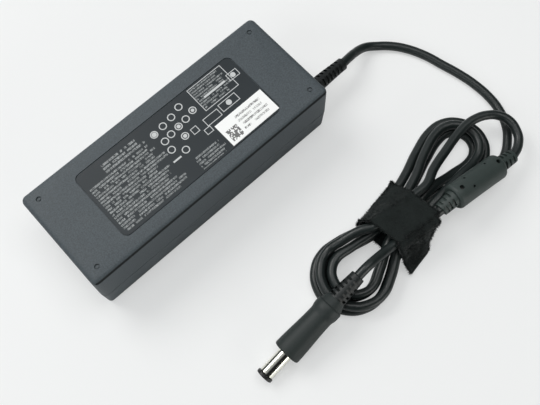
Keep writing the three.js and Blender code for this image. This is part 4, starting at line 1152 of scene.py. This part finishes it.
def allOf(masks):
    whole = masks[0]
    for mask in masks[1:]:
        whole = whole.most(mask)
    return whole


def labelFinish(name):
    finish = Finish(name)
    x, y, z = finish.axes()
    words = allOf([dashes(finish, x, y, area) for area in label["areas"]])
    shapes = [boxMask(x, y, bar, bar[3]) for bar in label["bars"]]
    shapes += [ringMask(x, y, centre, label["ringSize"], label["ringWidth"]) for centre in label["rings"]]
    shapes += [boxMask(x, y, place, label["boxWidth"]) for place in label["boxes"]]
    shapes += [ringMask(x, y, spot, spot[2], spot[2]) for spot in label["spots"]]
    marks = allOf(shapes)
    inked = words.most(marks)
    cloud = finish.noise(*label["cloud"])
    fine = finish.noise(*label["fine"])
    ground = finish.mix(cloud, *(shade(label["ground"], factor) for factor in label["shades"]))
    worn = (fine - 0.5) * label["wear"] + label["cover"]
    base = finish.mix(inked * worn, ground, finish.mix(marks, label["faint"], label["ink"]))
    shine = (cloud - 0.5) * label["cloudShine"] + (fine - 0.5) * label["fineShine"] + label["rough"]
    return finish.surface(
        Base_Color=base, Roughness=shine, Specular_IOR_Level=label["specular"],
        Normal=finish.bump(inked * label["inkHeight"] + fine, *label["bump"]))


# Sticker: white paper with dark dashes and a plain square of random dots
sticker = {
    "paper": (0.88, 0.89, 0.88),
    "shades": (0.96, 1.03),
    "ink": (0.06, 0.06, 0.06),
    "cover": 0.9,
    "fibre": (2.4, 3, 0.5),
    "rough": 0.62,
    "fibreShine": 0.1,
    "bump": (0.3, 0.01),
    "rows": {"x": (25.4, 40.6), "y": (-15.4, -6.4), "pitch": 2.2, "tall": 0.5, "glyph": 1.0, "ragged": 3},
    "dots": (20.9, -12.7, 5.8, 5.8),
    "dotSize": 0.52,
}


def stickerFinish(name):
    finish = Finish(name)
    x, y, z = finish.axes()
    ink = dashes(finish, x, y, sticker["rows"])
    dots = finish.dice(
        (x / sticker["dotSize"]).floor(), (y / sticker["dotSize"]).floor(), printing["seeds"]["dots"])
    place = sticker["dots"]
    ink = ink.most((dots > printing["dotGaps"]) * boxMask(x, y, place, place[2]))
    fibre = finish.noise(*sticker["fibre"])
    paper = finish.mix(fibre, *(shade(sticker["paper"], factor) for factor in sticker["shades"]))
    base = finish.mix(ink * sticker["cover"], paper, sticker["ink"])
    shine = (fibre - 0.5) * sticker["fibreShine"] + sticker["rough"]
    return finish.surface(Base_Color=base, Roughness=shine, Normal=finish.bump(fibre, *sticker["bump"]))


# Strap: matted pile, its colour painted darker in its hollows as shade, and varying in patches
fabric = {
    "colour": (0.008, 0.0108, 0.0102),
    "shades": (0.3, 2.2),
    "tufts": (1.5, 4, 0.65),
    "patches": (0.16, 3, 0.5),
    "shares": (0.7, 0.3),
    "rough": 0.9,
    "tuftShine": 0.1,
    "sheen": (0.15, 0.4),
    "specular": 0.2,
    "bump": (0.9, 0.35),
}


def fabricFinish(name):
    finish = Finish(name)
    tufts = finish.noise(*fabric["tufts"])
    patches = finish.noise(*fabric["patches"])
    # Painted shade: the colour follows the bump's noise, darker where the pile is low, mixed with patches
    # of tone
    toneAndHollowShade = tufts * fabric["shares"][0] + patches * fabric["shares"][1]
    base = finish.mix(toneAndHollowShade, *(shade(fabric["colour"], factor) for factor in fabric["shades"]))
    shine = (tufts - 0.5) * fabric["tuftShine"] + fabric["rough"]
    weight, rough = fabric["sheen"]
    return finish.surface(
        Base_Color=base, Roughness=shine, Sheen_Weight=weight, Sheen_Roughness=rough,
        Specular_IOR_Level=fabric["specular"], Normal=finish.bump(tufts + patches, *fabric["bump"]))


finishes = {slot: plasticFinish(slot, **values) for slot, values in plastics.items()}
finishes.update({slot: metalFinish(slot, **values) for slot, values in metals.items()})
finishes["board_laminate"] = boardFinish("board_laminate")
finishes["label_film"] = labelFinish("label_film")
finishes["sticker_paper"] = stickerFinish("sticker_paper")
finishes["strap_fabric"] = fabricFinish("strap_fabric")
print("finishes made:", len(finishes))


# Every CAD node takes its slot's finish; a smooth look comes from modifiers on the untouched mesh
nodeLook = {"weld": 0.001, "sharpAngle": 32}


def dressNode(node, slot):
    node.data.materials.clear()
    node.data.materials.append(finishes[slot])
    custom = node.data.attributes.get("custom_normal")
    if custom:
        node.data.attributes.remove(custom)
    for polygon in node.data.polygons:
        polygon.use_smooth = True
    weld = node.modifiers.new("weld", "WELD")
    weld.merge_threshold = nodeLook["weld"] * mm
    split = node.modifiers.new("edges", "EDGE_SPLIT")
    split.split_angle = math.radians(nodeLook["sharpAngle"])


for part in frame["record"]["subparts"]:
    dressNode(frame["nodes"][part["node"]], part["material_slot"])
print("nodes dressed")


def settle(piece, slot, *nodes):
    piece.data.materials.clear()
    piece.data.materials.append(finishes[slot])
    if nodes:
        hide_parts(*nodes)
    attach(piece, body)


settle(outputCord, "cord_jacket", "lead_cord", "cord_hank", "loop_cord", "bead_cord", "plug_cord")
settle(caseRelief, "relief_plastic", "dc_strain_relief")
settle(beadMoulding, "bead_plastic", "bead_cover")
settle(tipRing, "tip_plastic", "plug_tip_ring")
settle(barrel, "plug_chrome", "plug_sleeve")
settle(plugHandle, "plug_plastic", "plug_body")
settle(plugTail, "relief_plastic", "plug_relief")
settle(strapBand, "strap_fabric", "cord_strap")
settle(strapPile, "strap_fabric")

print("pieces settled")

# Floor and light. The floor and the sky look like the backdrop to the camera, the floor only in part,
# and the sky that lights and is mirrored is dark on the near side.
stage = {
    "size": 3.0,
    "drop": 0.00002,
    "floor": (0.84, 0.85, 0.85),
    "glow": 0.5,
    "backdrop": (0.89, 0.9, 0.895),
    "skyWay": (-0.15, 0.75, 0.5),
    "skyDark": (0.02, 0.022, 0.024),
    "skyLight": (0.95, 0.97, 1.0),
    "skyStops": [(0.3, 0.0), (0.5, 0.55), (0.85, 1.0)],
    "skyStrength": 0.6,
    "lampSize": 0.5,
    "lamps": [
        {"name": "key", "place": (-0.15, 0.55, 0.75), "power": 5.0, "colour": (1.0, 0.99, 0.97)},
        {"name": "fill", "place": (-0.75, -0.1, 0.6), "power": 1.8, "colour": (0.95, 0.98, 1.0)},
        {"name": "over", "place": (0.25, -0.1, 0.9), "power": 2.5, "colour": (1.0, 1.0, 1.0)},
        {"name": "side", "place": (0.1, -0.95, 0.17), "power": 3.2, "colour": (1.0, 1.0, 0.96)}],
    "aim": (0.03, -0.04, 0.01),
}


def addFloor():
    half = stage["size"] / 2
    low = -stage["drop"]
    corners = [(-half, -half, low), (half, -half, low), (half, half, low), (-half, half, low)]
    floor = meshPiece("floor", corners, [(0, 1, 2, 3)])
    finish = Finish("floor")
    plain = finish.node("ShaderNodeBsdfDiffuse", {}, {"Color": stage["floor"]}, "BSDF")
    glow = finish.node("ShaderNodeEmission", {}, {"Color": stage["backdrop"], "Strength": 1.0}, "Emission")
    share = finish.seen() * stage["glow"]
    finish.show(finish.node("ShaderNodeMixShader", {}, {0: share, 1: plain, 2: glow}, "Shader"))
    floor.data.materials.append(finish.material)


def addLight():
    sky = Sky("sky")
    x, y, z = (axis * share for axis, share in zip(sky.axes(), stage["skyWay"]))
    level = sky.ramp(x + y + z, *stage["skyStops"])
    colour = sky.mix(level, stage["skyDark"], stage["skyLight"])
    around = sky.node("ShaderNodeBackground", {}, {"Color": colour, "Strength": stage["skyStrength"]})
    behind = sky.node("ShaderNodeBackground", {}, {"Color": stage["backdrop"], "Strength": 1.0})
    sky.show(sky.node("ShaderNodeMixShader", {}, {0: sky.seen(), 1: around, 2: behind}))
    bpy.context.scene.world = sky.material
    for lamp in stage["lamps"]:
        data = bpy.data.lights.new(lamp["name"], "AREA")
        data.size = stage["lampSize"]
        data.energy = lamp["power"]
        data.color = lamp["colour"]
        light = bpy.data.objects.new(lamp["name"], data)
        light.location = lamp["place"]
        way = Vector(stage["aim"]) - Vector(lamp["place"])
        light.rotation_euler = way.to_track_quat("-Z", "Y").to_euler()
        bpy.context.collection.objects.link(light)


addFloor()
addLight()
bpy.context.scene.view_settings.view_transform = "Standard"
print("stage set")
